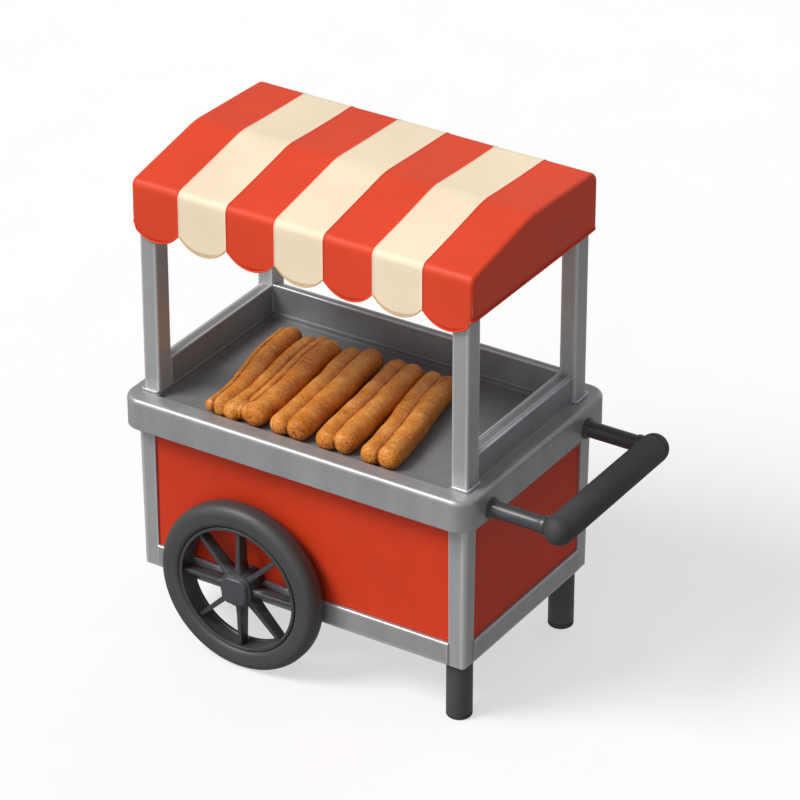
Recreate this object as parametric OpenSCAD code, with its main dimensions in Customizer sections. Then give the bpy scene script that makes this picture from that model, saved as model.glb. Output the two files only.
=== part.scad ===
// Push vending cart: a steel-framed body on two big wheels and two legs,
// with a display tray on top, a striped awning on four posts and a push handle.
// X runs along the cart towards the handle, Y across it towards the operator,
// Z up. The origin is on the ground, under the middle of the whole cart.

/* [Body] */
// Length of the body frame
body_l = 1370; // [1250:10:1700]
// Width of the body frame
body_w = 860; // [760:10:1080]
// Height of the body frame's underside above the ground
body_bottom = 240; // [220:5:280]
// Side of the square corner uprights
upright_w = 70; // [60:1:84]
// Height of the bottom rails
rail_h = 92; // [80:1:104]
// Wall of the frame tubes
tube_t = 3; // [2.5:0.5:4]
// Rounding of the outer corner of each upright
upright_r = 16; // [8:1:20]
// Depth of the panel faces below the frame's faces
panel_recess = 12; // [6:1:16]
// Thickness of the panel's backing sheet
panel_back_t = 2; // [1.5:0.5:3]
// Thickness of the panel's raised face
panel_face_t = 3; // [2:0.5:4]
// Width of the groove between a raised face and the frame
panel_groove = 4; // [2:0.5:8]

/* [Counter] */
// Height of the counter's top
counter_top = 950; // [900:10:1050]
// Height of the counter's edge
rim_h = 122; // [100:2:140]
// Overhang of the counter past the body's ends
rim_over_x = 40; // [30:1:60]
// Overhang of the counter past the body's sides
rim_over_y = 55; // [40:1:70]
// Plan radius of the counter's corners
rim_corner_r = 75; // [55:1:90]
// Rounding of the counter's top edge
rim_edge_r = 14; // [8:1:20]
// Sheet thickness of the counter
rim_t = 3; // [2:0.5:4]
// Width of the counter's ledge on the customer side
ledge_front = 65; // [55:1:80]
// Height of the guards above the counter
guard_h = 112; // [80:2:140]
// Thickness of the two end guards
guard_end_t = 55; // [40:1:60]
// Thickness of the rear guard
guard_rear_t = 45; // [36:1:60]
// Depth of the tray's floor below the counter's top
tray_drop = 17; // [12:1:30]
// Clearance all round the lift-out tray
tray_gap = 3; // [2:0.5:5]
// Sheet thickness of the tray
tray_t = 2; // [1.5:0.5:3]

/* [Posts] */
// Post section along the cart
post_x = 65; // [50:1:75]
// Post section across the cart
post_y = 78; // [60:1:90]
// Distance from the counter's end to the posts
post_inset_x = 53; // [44:1:64]
// Distance from the counter's sides to the posts
post_inset_y = 85; // [70:1:95]
// Height of the post tops above the ground
post_top = 1640; // [1600:10:1700]
// Lip of the foot plates round the posts
foot_lip = 7; // [4:1:10]
// Thickness of the foot plates
foot_t = 6; // [4:1:8]

/* [Awning] */
// Overhang of the awning past the posts at its ends
awning_over_x = 23; // [16:1:80]
// Overhang of the awning past the posts at its sides
awning_over_y = 12; // [10:1:60]
// Rise of the awning's front top edge above the posts
awning_front_rise = 140; // [110:5:200]
// Rise of the roof's crease above the posts
awning_crease_rise = 215; // [205:5:300]
// Crease position across the cart
awning_crease_y = -25; // [-80:5:60]
// Rise of the awning's rear top edge above the posts
awning_rear_rise = 198; // [160:2:204]
// Drop of the straight bottom edge below the post tops
awning_skirt = 25; // [5:5:50]
// Drop of the scallops below the straight edge
scallop_drop = 55; // [30:1:70]
// Number of stripes, one scallop to each
stripe_n = 7; // [5:2:11]
// Thickness of the awning cover
cover_t = 4; // [3:0.5:6]
// Height of the awning's ring frame
ring_h = 38; // [30:1:50]
// Wall of the awning's ring frame
ring_t = 3; // [2:0.5:5]
// Side of the square roof hoops
hoop_w = 24; // [18:1:30]
// Number of roof hoops
hoop_n = 3; // [3:1:5]

/* [Wheels] */
// Diameter over the tyres
wheel_d = 660; // [600:10:720]
// Width of a tyre
tyre_w = 92; // [70:1:110]
// Depth of a tyre from tread to rim
tyre_h = 84; // [60:1:100]
// Rounding of the tyre's shoulders
tyre_r = 30; // [15:1:34]
// Gap between a tyre and the body's side
wheel_gap = 12; // [10:1:30]
// Distance of the axle behind the body's middle
wheel_back = 207; // [150:1:260]
// Thickness of the wheel's rim barrel
barrel_t = 9; // [6:1:12]
// Number of spokes
spoke_n = 8; // [6:1:12]
// Thickness of a spoke
spoke_t = 18; // [12:1:24]
// Depth of a spoke along the axle
spoke_w = 46; // [30:1:56]
// Diameter of the hub
hub_d = 132; // [110:1:150]
// Length of the hub
hub_w = 80; // [70:1:90]
// Diameter of the hub cap
cap_d = 106; // [96:1:120]
// Height of the hub cap
cap_h = 20; // [16:1:30]
// Wall of the hub cap
cap_t = 4; // [3:0.5:6]
// Diameter of the axle
axle_d = 30; // [25:1:35]
// Outer diameter of a wheel bearing
bearing_d = 62; // [52:1:72]
// Width of a wheel bearing
bearing_w = 16; // [13:1:18]
// Radial running clearance of the bearings on the axle
axle_fit = 0.05; // [0.02:0.01:0.1]

/* [Legs] */
// Diameter of the legs
leg_d = 95; // [70:1:110]
// Distance of the legs' axes from the body's end
leg_inset_x = 67; // [60:1:90]
// Distance of the legs' axes from the body's sides
leg_inset_y = 78; // [60:1:90]
// Side of the square leg plates
leg_plate = 130; // [116:1:132]
// Height of the rubber feet
leg_foot_h = 22; // [14:1:40]

/* [Handle] */
// Diameter of the handle's arms
arm_d = 60; // [40:1:64]
// Distance between the arms' axes
arm_span = 650; // [560:10:700]
// Distance from the counter's end to the grip's axis
handle_out = 269; // [200:1:320]
// Diameter of the grip
grip_d = 110; // [90:1:120]
// Diameter of the bar inside the grip
bar_d = 48; // [40:1:56]

/* [Door] */
// Width of the door frame's bars
door_bar_w = 50; // [40:1:60]
// Depth of the door and its frame
door_depth = 20; // [16:1:26]
// Gap round the door
door_gap = 3; // [2:0.5:5]
// Radius of the hinge knuckles
knuckle_r = 6; // [5:0.5:8]
// Radius of the hinge pins
pin_r = 3; // [2.5:0.5:4]
// Length of a hinge
hinge_l = 60; // [45:3:90]
// Diameter of the latch knob
knob_d = 42; // [30:1:50]

/* [Rolls] */
// Diameter of each of a roll's two lobes
lobe_d = 84; // [60:1:90]
// Length of a roll
roll_l = 590; // [400:10:600]
// Distance between the axes of a roll's two lobes
lobe_pitch = 66; // [50:1:68]
// Distance from one roll to the next
roll_pitch = 156; // [154:1:160]
// Turn of the rolls in the tray, in degrees
roll_turn = 9; // [0:1:12]
// Distance of the rolls' front ends from the tray's front wall
roll_front = 12; // [6:1:40]

/* [Hidden] */
$fn = 64;
eps = 0.01;
seat = 0.3;                                   // gap under a soft piece or a running face
rim_l = body_l + 2 * rim_over_x;
rim_w = body_w + 2 * rim_over_y;
rim_bottom = counter_top - rim_h;
frame_top = counter_top - rim_t;
rail_top = body_bottom + rail_h;
cart_x = -(handle_out + grip_d / 2) / 2;      // body's middle, so that the origin is central
side_x = body_l / 2;
side_y = body_w / 2;
inner_x = side_x - upright_w;                 // faces of the uprights towards each other
inner_y = side_y - upright_w;
panel_y = side_y - panel_recess;
panel_x = side_x - panel_recess;
panel_t = panel_back_t + panel_face_t;
top_bar_h = 40;                               // height of the angle bars under the tray
post_out_x = rim_l / 2 - post_inset_x;
post_out_y = rim_w / 2 - post_inset_y;
awning_l = 2 * (post_out_x + awning_over_x);
awning_w = 2 * (post_out_y + awning_over_y);
awning_front_z = post_top + awning_front_rise;
awning_crease_z = post_top + awning_crease_rise;
awning_rear_z = post_top + awning_rear_rise;
awning_bottom_z = post_top - awning_skirt;
well_x = post_out_x - post_x;                 // half length of the tray well
well_front = -(rim_w / 2 - ledge_front);
well_rear = post_out_y - post_y;
tray_floor = counter_top - tray_drop;
bar_top = tray_floor - tray_t - rim_t;        // the tray's shelf stands on the angle bars
tray_lip = 2;                                 // tray's edge below the counter's top
shelf_w = 20;
wheel_r = wheel_d / 2;
wheel_x = -wheel_back;
wheel_y = side_y + wheel_gap + tyre_w / 2;    // wheel's middle plane
barrel_r = wheel_r - tyre_h;                  // seat of the tyre
barrel_w = tyre_w - 12;
hub_in = wheel_y - hub_w / 2;
bore_step = 12;                               // recess of the outer bearing
nut_h = 16;
nut_r = 26;
washer_h = 3;
axle_end = wheel_y + hub_w / 2 - bore_step + seat + washer_h + nut_h + 3;
boss_r = 50;
boss_out = side_y + 9;
nose_r = 22;
bracket_w = 140;
bracket_t = 8;
bracket_top = wheel_r + 28;
axle_hole_r = axle_d / 2 + 0.2;               // clearance hole in fixed pieces
notch_r = axle_d / 2 + 5;
bearer_least = 20;                            // least height of a deck bearer
axle_clear = 17;                              // gap between the axle and the deck
bearer_h = max(bearer_least, wheel_r + axle_d / 2 + axle_clear - rail_top);
bearer_w = 40;
deck_t = 2;
deck_top = rail_top + bearer_h + deck_t;
deck_gap = 3;
socket_t = 4;
arm_z = rim_bottom + rim_t + socket_t + arm_d / 2 + 1;
arm_y = arm_span / 2;
grip_x = rim_l / 2 + handle_out;
beam_bottom = rim_bottom + 8;
beam_w = 60;
socket_gap = 0.25;
leg_x = side_x - leg_inset_x;
leg_y = side_y - leg_inset_y;
leg_plate_t = 6;
leg_t = 4;
bolt_r = 5;
bolt_head_h = 7;
door_left = wheel_x + wheel_r + 62;           // clear of the wheel beside it
door_right = inner_x;
door_top = rim_bottom - 8;
door_bar_t = 2.5;
door_sheet_t = 2;
hinge_x = door_right - door_gap / 2;
hinge_y = side_y + knuckle_r + 0.2;
hinge_z = [rail_top + 100, door_top - 100];
leaf_w = 28;
leaf_t = 2.5;
latch_x = door_left + door_gap + 22;
latch_z = (rail_top + door_top) / 2;
spindle_r = 5;
cam_l = 45;
cam_w = 18;
cam_t = 5;
ring_x = awning_l / 2 - cover_t - seat;
ring_y = awning_w / 2 - cover_t - seat;
ring_flange = 50;
front_rise = awning_crease_z - awning_front_z;
front_run = awning_crease_y + awning_w / 2;
rear_fall = awning_crease_z - awning_rear_z;
rear_run = awning_w / 2 - awning_crease_y;
stripe_w = awning_l / stripe_n;
scallop_r = (stripe_w * stripe_w / 4 + scallop_drop * scallop_drop) / (2 * scallop_drop);
roll_n = 5;                                   // one node each
roll_x0 = -(roll_n - 1) / 2 * roll_pitch - 17;
dark = [0.15, 0.15, 0.15];
red = [0.85, 0.26, 0.15];
steel = [0.62, 0.63, 0.64];

// ---- shapes that several pieces share ----

// Rectangle with round corners, centred
module round_rect(l, w, r) {
    square([l - 2 * r, w], center = true);
    square([l, w - 2 * r], center = true);
    for (sx = [-1, 1])
        for (sy = [-1, 1])
            translate([sx * (l / 2 - r), sy * (w / 2 - r)])
                circle(r);
}

// Box given by its lowest and highest corners
module block(low, high) {
    translate(low)
        cube(high - low);
}

// Straight box tube along X, centred across, from x = 0
module tube_along_x(l, y, z, t) {
    difference() {
        translate([0, -y / 2, 0])
            cube([l, y, z]);
        translate([-1, -y / 2 + t, t])
            cube([l + 2, y - 2 * t, z - 2 * t]);
    }
}

// Cylinder along Y from y0 to y1
module rod_y(r, y0, y1) {
    translate([0, y0, 0])
        rotate([-90, 0, 0])
            cylinder(r = r, h = y1 - y0);
}

// Copy on each side of the cart
module both_sides() {
    for (side = [-1, 1])
        mirror([0, side < 0 ? 0 : 1, 0])
            children();
}

// ---- body frame ----

// Square with its outer corner rounded
module upright_outline(sx, sy) {
    flat = upright_w - upright_r;
    translate([-sx * upright_r / 2, 0])
        square([flat, upright_w], center = true);
    translate([0, -sy * upright_r / 2])
        square([upright_w, flat], center = true);
    translate([sx * (flat - upright_w / 2), sy * (flat - upright_w / 2)])
        circle(upright_r);
}

// Corner upright: a square tube closed at its foot, with its outer corner rounded
module upright(sx, sy) {
    color(steel)
        difference() {
            translate([sx * (side_x - upright_w / 2), sy * (side_y - upright_w / 2), body_bottom])
                difference() {
                    linear_extrude(frame_top - body_bottom)
                        upright_outline(sx, sy);
                    translate([0, 0, tube_t])
                        linear_extrude(frame_top - body_bottom)
                            round_rect(upright_w - 2 * tube_t, upright_w - 2 * tube_t, upright_r - tube_t);
                }
            bolt_holes(body_bottom - 1, body_bottom + tube_t + 1);
        }
}

// Bottom rail under a side panel, saddled over the axle and drilled for the leg bolts
module bottom_rail_side(sy) {
    color(steel)
        difference() {
            translate([-inner_x, sy * (side_y - upright_w / 2), body_bottom])
                tube_along_x(2 * inner_x, upright_w, rail_h, tube_t);
            translate([wheel_x, 0, wheel_r])
                rod_y(notch_r, -side_y - 1, side_y + 1);
            bolt_holes(body_bottom - 1, body_bottom + tube_t + 1);
        }
}

// Bottom rail under an end panel
module bottom_rail_end(sx) {
    color(steel)
        difference() {
            translate([sx * (side_x - upright_w / 2), -inner_y, body_bottom])
                rotate([0, 0, 90])
                    tube_along_x(2 * inner_y, upright_w, rail_h, tube_t);
            bolt_holes(body_bottom - 1, body_bottom + tube_t + 1);
        }
}

// Angle bar along X: an outer web and an inward flange on top
module angle_bar(l) {
    translate([-l / 2, -rim_t, -top_bar_h])
        cube([l, rim_t, top_bar_h]);
    translate([-l / 2, -top_bar_h, -rim_t])
        cube([l, top_bar_h, rim_t]);
}

// Three angle bars that tie the uprights' tops; the handle beam is the fourth
module top_bars() {
    color(steel) {
        for (turn = [0, 180])
            rotate([0, 0, turn])
                translate([0, side_y, bar_top])
                    angle_bar(2 * inner_x);
        rotate([0, 0, 90])
            translate([0, side_x, bar_top])
                angle_bar(2 * inner_y);
    }
}

// Box beam behind the counter's end, with a socket welded on for each handle arm
module handle_beam() {
    color(steel)
        difference() {
            union() {
                translate([side_x - beam_w / 2, -inner_y, beam_bottom])
                    rotate([0, 0, 90])
                        tube_along_x(2 * inner_y, beam_w, frame_top - beam_bottom, tube_t);
                for (side = [-1, 1])
                    along_arm(side)
                        translate([0, 0, side_x])
                            cylinder(r = arm_d / 2 + socket_t, h = rim_over_x - rim_t);
            }
            for (side = [-1, 1])
                along_arm(side)
                    translate([0, 0, side_x])
                        cylinder(r = arm_d / 2 + socket_gap, h = rim_over_x);
        }
}

// Channels that carry the floor over the axle
module deck_bearers() {
    color(steel)
        for (x = [-inner_x + 110, wheel_x + wheel_r - 60, inner_x - 110])
            translate([x, -panel_y + panel_t + deck_gap, rail_top])
                rotate([0, 0, 90])
                    difference() {
                        translate([0, -bearer_w / 2, 0])
                            cube([2 * (panel_y - panel_t - deck_gap), bearer_w, bearer_h]);
                        translate([-1, -bearer_w / 2 + tube_t, -1])
                            cube([2 * panel_y, bearer_w - 2 * tube_t, bearer_h - tube_t + 1]);
                    }
}

// Floor of the storage space
module floor_deck() {
    color(steel)
        block([-inner_x + deck_gap, -panel_y + panel_t + deck_gap, deck_top - deck_t],
              [inner_x - deck_gap, panel_y - panel_t - deck_gap, deck_top]);
}

// ---- panels ----

// Sheet panel along X with a raised face, standing on z = 0 with its back at y = 0
module panel_sheet(l, h) {
    translate([0, -panel_back_t, 0])
        cube([l, panel_back_t, h]);
    translate([panel_groove, -panel_t, panel_groove])
        cube([l - 2 * panel_groove, panel_face_t + eps, h - panel_groove]);
}

module front_panel() {
    color(red)
        difference() {
            translate([-inner_x, -panel_y + panel_t, rail_top])
                panel_sheet(2 * inner_x, bar_top - rim_t - rail_top);
            translate([wheel_x, 0, wheel_r])
                rod_y(notch_r, -side_y, 0);
        }
}

module left_panel() {
    color(red)
        translate([-panel_x + panel_t, inner_y, rail_top])
            rotate([0, 0, -90])
                panel_sheet(2 * inner_y, bar_top - rim_t - rail_top);
}

module right_panel() {
    color(red)
        translate([panel_x - panel_t, -inner_y, rail_top])
            rotate([0, 0, 90])
                panel_sheet(2 * inner_y, beam_bottom - rail_top);
}

module rear_panel() {
    color(red)
        difference() {
            translate([door_left - door_bar_w, panel_y - panel_t, rail_top])
                rotate([0, 0, 180])
                    panel_sheet(door_left - door_bar_w + inner_x, bar_top - rim_t - rail_top);
            translate([wheel_x, 0, wheel_r])
                rod_y(notch_r, 0, side_y);
        }
}

// ---- counter ----

// Section of the counter's edge: a skirt with a round top and a turned-in foot
module edge_section(r) {
    top = rim_h;
    steps = [0 : 15 : 90];
    outer = [for (a = steps) [r - rim_edge_r + rim_edge_r * sin(a), top - rim_edge_r + rim_edge_r * cos(a)]];
    inner_r = rim_edge_r - rim_t;
    inner = [for (a = steps) [r - rim_edge_r + inner_r * sin(a), top - rim_edge_r + inner_r * cos(a)]];
    back = [for (i = [len(inner) - 1 : -1 : 0]) inner[i]];
    lip = r - rim_edge_r - 2;
    foot = [[r, 4], [r - 1.2, 1.2], [r - 4, 0], [lip, 0], [lip, rim_t], [r - rim_t, rim_t]];
    polygon(concat([[lip, top]], outer, foot, back, [[lip, top - rim_t]]));
}

// The counter's edge all round
module rim_edge() {
    sx = rim_l / 2 - rim_corner_r;
    sy = rim_w / 2 - rim_corner_r;
    for (corner = [[sx, sy, 0], [-sx, sy, 90], [-sx, -sy, 180], [sx, -sy, 270]])
        translate([corner[0], corner[1], 0])
            rotate([0, 0, corner[2]])
                rotate_extrude(angle = 90)
                    edge_section(rim_corner_r);
    for (turn = [0, 180])
        rotate([0, 0, turn]) {
            translate([0, sy, 0])
                rotate([90, 0, 90])
                    linear_extrude(2 * sx, center = true)
                        edge_section(rim_corner_r);
            translate([sx, 0, 0])
                rotate([90, 0, 0])
                    linear_extrude(2 * sy, center = true)
                        edge_section(rim_corner_r);
        }
}

// Counter: top with the tray well, round-edged skirt and closed underside
module counter_rim() {
    inset = rim_edge_r + 1;
    color(steel)
        difference() {
            translate([0, 0, rim_bottom])
                union() {
                    rim_edge();
                    translate([0, 0, rim_h - rim_t])
                        linear_extrude(rim_t)
                            difference() {
                                round_rect(rim_l - 2 * inset, rim_w - 2 * inset, rim_corner_r - inset);
                                translate([-well_x, well_front])
                                    square([2 * well_x, well_rear - well_front]);
                            }
                    linear_extrude(rim_t)
                        difference() {
                            round_rect(rim_l - 2 * inset, rim_w - 2 * inset, rim_corner_r - inset);
                            square([body_l, body_w], center = true);
                        }
                }
            for (side = [-1, 1])
                translate([side_x, side * arm_y, arm_z])
                    rotate([0, 90, 0])
                        cylinder(r = arm_d / 2 + socket_gap, h = rim_l);
        }
}

// Angle ring that hangs under the counter and carries the tray
module tray_shelf() {
    well_w = well_rear - well_front;
    color(steel)
        translate([0, (well_rear + well_front) / 2, bar_top])
            difference() {
                linear_extrude(frame_top - bar_top)
                    square([2 * (well_x + rim_t), well_w + 2 * rim_t], center = true);
                translate([0, 0, rim_t])
                    linear_extrude(rim_h)
                        square([2 * well_x, well_w], center = true);
                translate([0, 0, -1])
                    linear_extrude(rim_h)
                        square([2 * (well_x - shelf_w), well_w - 2 * shelf_w], center = true);
            }
}

// Guard section: an upside-down channel with a bead on its inner edge and two steps
module guard_section(t) {
    bead = 9;
    step = 5;
    shelf = 13;
    difference() {
        polygon([[0, 0], [0, guard_h], [bead, guard_h], [bead, guard_h - step],
                 [t - shelf, guard_h - step], [t - shelf, guard_h - 2 * step],
                 [t, guard_h - 2 * step], [t, 0]]);
        translate([tube_t, -1])
            square([t - 2 * tube_t, guard_h - 2 * step - tube_t + 1]);
    }
}

module guard_end(sx) {
    color(steel)
        mirror([sx < 0 ? 1 : 0, 0, 0])
            translate([well_x, well_rear, counter_top])
                rotate([90, 0, 0])
                    linear_extrude(2 * well_rear)
                        guard_section(guard_end_t);
}

module guard_rear() {
    color(steel)
        translate([-well_x, well_rear, counter_top])
            rotate([90, 0, 90])
                linear_extrude(2 * well_x)
                    guard_section(guard_rear_t);
}

// ---- posts ----

module post_feet() {
    color(steel)
        for (sx = [-1, 1])
            for (sy = [-1, 1])
                translate([sx * (post_out_x - post_x / 2 + foot_lip / 2),
                           sy * (post_out_y - post_y / 2 + foot_lip / 2), counter_top])
                    linear_extrude(foot_t)
                        square([post_x + foot_lip, post_y + foot_lip], center = true);
}

module post(sx, sy) {
    bend = 5;
    color(steel)
        translate([sx * (post_out_x - post_x / 2), sy * (post_out_y - post_y / 2), counter_top + foot_t])
            linear_extrude(post_top - counter_top - foot_t)
                difference() {
                    round_rect(post_x, post_y, bend);
                    round_rect(post_x - 2 * tube_t, post_y - 2 * tube_t, bend - tube_t);
                }
}

// ---- awning ----

// Roof outline across the cart, set in by side_in at the sides and roof_in at the top
function roof(side_in, roof_in, bottom) =
    let (front_drop = roof_in / cos(atan(front_rise / front_run)),
         rear_drop = roof_in / cos(atan(rear_fall / rear_run)),
         half = awning_w / 2 - side_in)
    [[-half, bottom],
     [-half, awning_front_z + side_in * front_rise / front_run - front_drop],
     [awning_crease_y, awning_crease_z - (front_drop + rear_drop) / 2],
     [half, awning_rear_z + side_in * rear_fall / rear_run - rear_drop],
     [half, bottom]];

// Solid along X whose section across the cart is the child
module along_x(l) {
    rotate([90, 0, 90])
        linear_extrude(l, center = true)
            children();
}

module awning_ring() {
    color(steel)
        translate([0, 0, post_top])
            difference() {
                linear_extrude(ring_h)
                    square([2 * ring_x, 2 * ring_y], center = true);
                translate([0, 0, ring_t])
                    linear_extrude(ring_h)
                        square([2 * (ring_x - ring_t), 2 * (ring_y - ring_t)], center = true);
                translate([0, 0, -1])
                    linear_extrude(ring_h)
                        square([2 * (ring_x - ring_flange), 2 * (ring_y - ring_flange)], center = true);
            }
}

// Bent hoops that stand on the ring and hold the roof up
module roof_hoops() {
    side_in = cover_t + seat + ring_t + seat;
    roof_in = cover_t + seat;
    first = ring_x - ring_t - seat - hoop_w / 2;
    color(steel)
        for (i = [0 : hoop_n - 1])
            translate([first * (2 * i / (hoop_n - 1) - 1), 0, 0])
                difference() {
                    along_x(hoop_w)
                        polygon(roof(side_in, roof_in, post_top + ring_t));
                    along_x(hoop_w + 2)
                        polygon(roof(side_in + hoop_w, roof_in + hoop_w, post_top));
                }
}

// Strip with a row of round drops along its lower edge, one to each stripe
module scallops(strip) {
    half_angle = asin(stripe_w / 2 / scallop_r);
    drops = [for (i = [0 : stripe_n - 1], k = [-6 : 1 : (i < stripe_n - 1 ? 5 : 6)])
        [(i + 0.5) * stripe_w - awning_l / 2 + scallop_r * sin(k * half_angle / 6),
         scallop_r - scallop_drop - scallop_r * cos(k * half_angle / 6)]];
    polygon(concat([[awning_l / 2, strip], [-awning_l / 2, strip]], drops));
}

module awning_cover() {
    color(red) {
        difference() {
            along_x(awning_l)
                polygon(roof(0, 0, awning_bottom_z));
            along_x(awning_l - 2 * cover_t)
                polygon(roof(cover_t, cover_t, awning_bottom_z - 1));
        }
        translate([0, -awning_w / 2 + cover_t, awning_bottom_z])
            rotate([90, 0, 0])
                linear_extrude(cover_t)
                    scallops(2 * cover_t);
    }
}

// ---- legs ----

// Clearance holes for the three bolts of each leg plate
module bolt_places() {
    for (side = [-1, 1])
        for (spot = [[inner_x - 30, side_y - upright_w / 2 - 7],
                     [side_x - upright_w / 2, inner_y - 45],
                     [side_x - upright_w / 2, side_y - upright_w / 2 - 7]])
            translate([spot[0], side * spot[1], 0])
                children();
}

module bolt_holes(z0, z1) {
    bolt_places()
        translate([0, 0, z0])
            cylinder(r = bolt_r + 0.5, h = z1 - z0);
}

module leg_plates() {
    color(dark)
        difference() {
            for (side = [-1, 1])
                translate([leg_x - leg_plate / 2, side * leg_y - leg_plate / 2, body_bottom - leg_plate_t])
                    cube([leg_plate, leg_plate, leg_plate_t]);
            bolt_holes(body_bottom - leg_plate_t - 1, body_bottom + 1);
        }
}

module legs() {
    color(dark)
        for (side = [-1, 1])
            translate([leg_x, side * leg_y, leg_foot_h])
                difference() {
                    cylinder(d = leg_d, h = body_bottom - leg_plate_t - leg_foot_h);
                    translate([0, 0, -1])
                        cylinder(d = leg_d - 2 * leg_t, h = body_bottom);
                    bolt_relief(side);
                }
}

// Slots in the leg's head that clear the heads of the plate's bolts
module bolt_relief(side) {
    translate([-leg_x, -side * leg_y, -leg_foot_h])
        bolt_places()
            translate([0, 0, body_bottom - leg_plate_t - bolt_head_h - 4])
                cylinder(r = bolt_r + 6, h = bolt_head_h + 5);
}

// Rubber foot with a plug that fills the leg's end
module leg_feet() {
    round_r = 8;
    color(dark)
        for (side = [-1, 1])
            translate([leg_x, side * leg_y, 0])
                rotate_extrude()
                    polygon(concat([[0, 0]],
                        [for (a = [0 : 15 : 90])
                            [leg_d / 2 - round_r + round_r * sin(a), round_r - round_r * cos(a)]],
                        [[leg_d / 2, leg_foot_h], [leg_d / 2 - leg_t, leg_foot_h],
                         [leg_d / 2 - leg_t, leg_foot_h + 20], [0, leg_foot_h + 20]]));
}

module leg_bolts() {
    color(steel)
        bolt_places()
            translate([0, 0, body_bottom - leg_plate_t - bolt_head_h]) {
                cylinder(r = 9, h = bolt_head_h, $fn = 6);
                cylinder(r = bolt_r, h = bolt_head_h + leg_plate_t + 16);
            }
}

// ---- handle ----

module along_arm(side) {
    translate([0, side * arm_y, arm_z])
        rotate([0, 90, 0])
            children();
}

module handle_arms() {
    color(dark)
        for (side = [-1, 1])
            difference() {
                along_arm(side)
                    translate([0, 0, side_x])
                        difference() {
                            cylinder(d = arm_d, h = grip_x - side_x);
                            translate([0, 0, -1])
                                cylinder(d = arm_d - 2 * tube_t, h = grip_x);
                        }
                grip_bore();
            }
}

// Space of the bar along the grip's axis
module grip_bore() {
    translate([grip_x, 0, arm_z])
        rod_y(bar_d / 2, -rim_w / 2, rim_w / 2);
}

module handle_bar() {
    reach = arm_y + grip_d / 4;
    color(dark)
        translate([grip_x, 0, arm_z])
            difference() {
                rod_y(bar_d / 2, -reach, reach);
                rod_y(bar_d / 2 - tube_t, -reach - 1, reach + 1);
            }
}

module handle_grip() {
    color(dark)
        difference() {
            translate([grip_x, 0, arm_z])
                union() {
                    rod_y(grip_d / 2, -arm_y, arm_y);
                    for (side = [-1, 1])
                        translate([0, side * arm_y, 0])
                            sphere(d = grip_d);
                }
            intersection() {
                grip_bore();
                translate([grip_x, 0, arm_z])
                    cube([grip_d, 2 * arm_y + grip_d / 2, grip_d], center = true);
            }
            for (side = [-1, 1])
                along_arm(side)
                    cylinder(d = arm_d, h = grip_x);
        }
}

// ---- wheels ----

// Wheel pieces are drawn with their axis along Z and their outer face up
module at_wheel(side) {
    translate([wheel_x, side * wheel_y, wheel_r])
        rotate([-90 * side, 0, 0])
            children();
}

module tyre(side) {
    shoulder = [for (a = [0 : 15 : 90])
        [wheel_r - tyre_r + tyre_r * cos(a), tyre_w / 2 - tyre_r + tyre_r * sin(a)]];
    bead_r = 12;
    bead = [for (a = [90 : 15 : 180])
        [barrel_r + bead_r + bead_r * cos(a), tyre_w / 2 - bead_r + bead_r * sin(a)]];
    upper = concat(shoulder, bead);
    lower = [for (i = [len(upper) - 1 : -1 : 0]) [upper[i][0], -upper[i][1]]];
    color(dark)
        at_wheel(side)
            rotate_extrude($fn = 96)
                polygon(concat(upper, lower));
}

// Band that the tyre is seated on
module rim_band(side) {
    color(dark)
        at_wheel(side)
            difference() {
                cylinder(r = barrel_r, h = barrel_w, center = true);
                cylinder(r = barrel_r - barrel_t, h = barrel_w + 2, center = true);
            }
}

// Hub and spokes, which end at the band's inner face
module wheel(side) {
    out = hub_w / 2;
    color(dark)
        at_wheel(side)
            difference() {
                union() {
                    cylinder(d = hub_d, h = hub_w, center = true);
                    intersection() {
                        cylinder(r = barrel_r - barrel_t, h = spoke_w, center = true);
                        for (i = [0 : spoke_n - 1])
                            rotate([0, 0, 90 + i * 360 / spoke_n])
                                translate([hub_d / 4, -spoke_t / 2, -spoke_w])
                                    cube([barrel_r - hub_d / 4, spoke_t, 2 * spoke_w]);
                    }
                }
                cylinder(r = bearing_d / 2 - 4, h = hub_w + 2, center = true);
                translate([0, 0, -out - 1])
                    cylinder(r = bearing_d / 2, h = bearing_w + 1);
                translate([0, 0, out - bore_step - bearing_w])
                    cylinder(r = bearing_d / 2, h = bearing_w + bore_step + 1);
                translate([0, 0, out - bore_step])
                    cylinder(r = cap_seat_r(), h = bore_step + 1);
            }
}

function cap_seat_r() = bearing_d / 2 + 9;

module bearings(side) {
    color(steel)
        at_wheel(side)
            for (z = [-hub_w / 2, hub_w / 2 - bore_step - bearing_w])
                translate([0, 0, z])
                    difference() {
                        cylinder(r = bearing_d / 2, h = bearing_w);
                        translate([0, 0, -1])
                            cylinder(r = axle_d / 2 + axle_fit, h = bearing_w + 2);
                    }
}

// Cap that covers the nut, with a spigot in the hub's mouth
module hub_cap(side) {
    round_r = 12;
    dome = [for (a = [0 : 15 : 90])
        [cap_d / 2 - round_r + round_r * cos(a), cap_h - round_r + round_r * sin(a)]];
    color(dark)
        at_wheel(side)
            translate([0, 0, hub_w / 2])
                rotate_extrude()
                    polygon(concat([[cap_d / 2, 0]], dome,
                        [[0, cap_h], [0, cap_h - cap_t], [cap_seat_r() - cap_t, cap_h - cap_t],
                         [cap_seat_r() - cap_t, -bore_step + seat], [cap_seat_r(), -bore_step + seat],
                         [cap_seat_r(), 0]]));
}

// ---- axle ----

module axle() {
    color(steel)
        translate([wheel_x, 0, wheel_r])
            rod_y(axle_d / 2, -axle_end, axle_end);
}

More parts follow.
